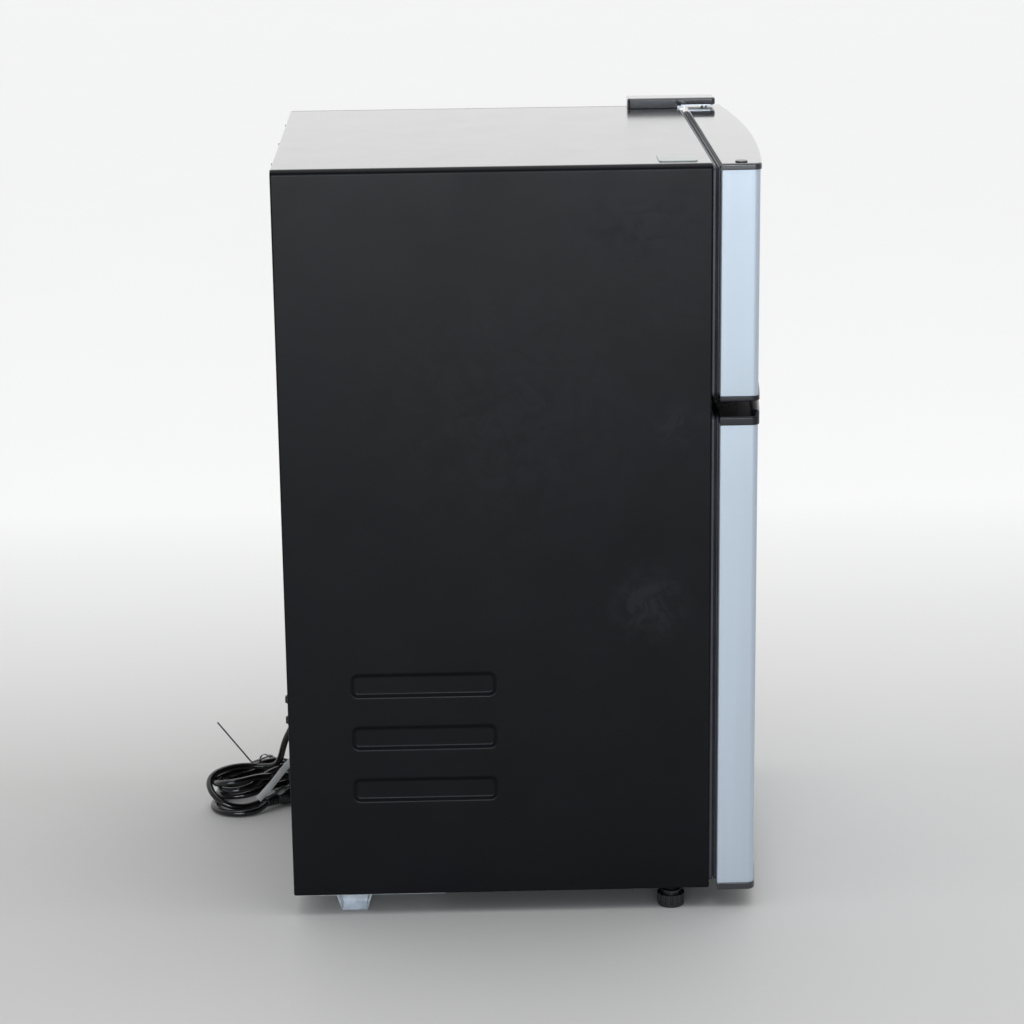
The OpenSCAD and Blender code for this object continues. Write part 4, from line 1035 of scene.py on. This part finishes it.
# ------------------------------------------------------------ carried CAD nodes: soft edges and finishes
done = set()
for s in frame["record"]["subparts"]:
    n, sl = s["node"], s["material_slot"]
    o = nodes[n]
    if o.hide_render:
        continue
    for ms in o.material_slots:
        ms.material = M["black_painted_steel"] if n in ("mullion_bar", "base_pan") else M[sl]
    for p in o.data.polygons:
        p.use_smooth = True
    w = o.modifiers.new("weld", "WELD")
    w.merge_threshold = 2e-5
    wid = {"insulation_foam": 0, "back_panel": 0, "freezer_liner": 0.0012, "fridge_liner": 0.0012, "thermostat_housing": 0.0015, "crisper_drawer": 0.0008,
           "back_screws": 0.0002, "hinge_screws": 0.0002, "top_hinge": 0.0004, "hinge_hole_cover": 0.0004, "cord_grip": 0.0005,
           "relay_cover": 0.0012, "freezer_door_liner": 0.0015, "fridge_door_liner": 0.0015}.get(n, 0.0005)
    if n in ("condenser_tube", "refrigerant_tubes", "freezer_shelf", "filter_drier", "insulation_foam", "freezer_door_foam", "fridge_door_foam"):
        wid = 0
    if wid:
        bv = o.modifiers.new("edge", "BEVEL")
        bv.width = wid
        bv.segments = 2
        bv.limit_method = "ANGLE"
        bv.angle_limit = math.radians(32)
        bv.harden_normals = True
        bv.use_clamp_overlap = True
    if n not in ("condenser_tube", "refrigerant_tubes", "freezer_shelf"):
        PUT.append(o)


# flat faces shade flat right up to their rounded edges
for o in PUT:
    wn_ = o.modifiers.new("normals", "WEIGHTED_NORMAL")
    wn_.mode = "FACE_AREA"
    wn_.weight = 100
    wn_.keep_sharp = True


# ------------------------------------------------------------ floor, backdrop and light
def stage_mat(name, col, rough, var=0.02):
    return pmat(name, col, rough, var=var, vscale=1.2, rvar=0.05, rscale=3, bumps=((160, 0.04, 0.0004),), spec=0.25)


def plane(name, pts, mat):
    me = bpy.data.meshes.new(name)
    me.from_pydata(pts, [], [tuple(range(len(pts)))])
    me.materials.append(mat)
    o = bpy.data.objects.new(name, me)
    scene.collection.objects.link(o)
    return o


fm = stage_mat("pale_floor", (0.60, 0.595, 0.585), 0.62)
nt = fm.node_tree
bsdf = next(n for n in nt.nodes if n.type == "BSDF_PRINCIPLED")
sx = nt.nodes.new("ShaderNodeSeparateXYZ")
nt.links.new(mapping(nt), sx.inputs[0])
# towards +X, behind the object, the floor turns grey and glows: painted light standing in for a bright backdrop, which
# also lights the object and shows in its reflections
far_floor_glow = ramp(nt, math_(nt, "MULTIPLY_ADD", sx.outputs[0], 0.25, 0.25), [(0.30, 0.0), (0.62, 1.0)])
old = bsdf.inputs["Base Color"].links[0].from_socket
nt.links.new(mix(nt, far_floor_glow, old, (0.42, 0.42, 0.42)), bsdf.inputs["Base Color"])
bsdf.inputs["Emission Color"].default_value = (1, 1, 1, 1)
nt.links.new(math_(nt, "MULTIPLY", far_floor_glow, 0.52), bsdf.inputs["Emission Strength"])
floor = plane("studio_floor", [(-30, -30, -0.0003), (30, -30, -0.0003), (30, 30, -0.0003), (-30, 30, -0.0003)], fm)

# white to the camera; as a light, bright behind the object and dimmer towards the front of the room
world = bpy.data.worlds.new("World")
scene.world = world
world.use_nodes = True
wn = world.node_tree
wn.nodes.clear()
bg = wn.nodes.new("ShaderNodeBackground")
wo = wn.nodes.new("ShaderNodeOutputWorld")
wn.links.new(bg.outputs[0], wo.inputs[0])
wt = wn.nodes.new("ShaderNodeTexCoord")
ws = wn.nodes.new("ShaderNodeSeparateXYZ")
wn.links.new(wt.outputs["Generated"], ws.inputs[0])
wf = math_(wn, "MULTIPLY_ADD", ws.outputs[0], 0.5, 0.5)
env = ramp(wn, wf, [(0.0, (0.20, 0.21, 0.235)), (0.30, (0.42, 0.43, 0.45)), (0.5, (0.86, 0.87, 0.88)), (0.62, (1.05, 1.05, 1.05))])
lp_ = wn.nodes.new("ShaderNodeLightPath")
wn.links.new(mix(wn, lp_.outputs["Is Camera Ray"], env, (0.90, 0.90, 0.90)), bg.inputs[0])
bg.inputs[1].default_value = 1.0


def area(name, loc, target, size, power, col=(1, 1, 1), size_y=None):
    d = bpy.data.lights.new(name, "AREA")
    d.shape = "RECTANGLE"
    d.size = size
    d.size_y = size_y or size
    d.energy = power
    d.color = col
    o = bpy.data.objects.new(name, d)
    o.location = loc
    o.rotation_euler = (Vector(target) - Vector(loc)).to_track_quat("-Z", "Y").to_euler()
    scene.collection.objects.link(o)
    return o


area("soft_overhead", (-0.4, -0.5, 3.0), (0, 0, 0.2), 2.6, 30)
area("soft_front", (-6.2, 0.2, 0.8), (0, 0, 0.75), 4.0, 165, (0.90, 0.955, 1.0), 0.9)
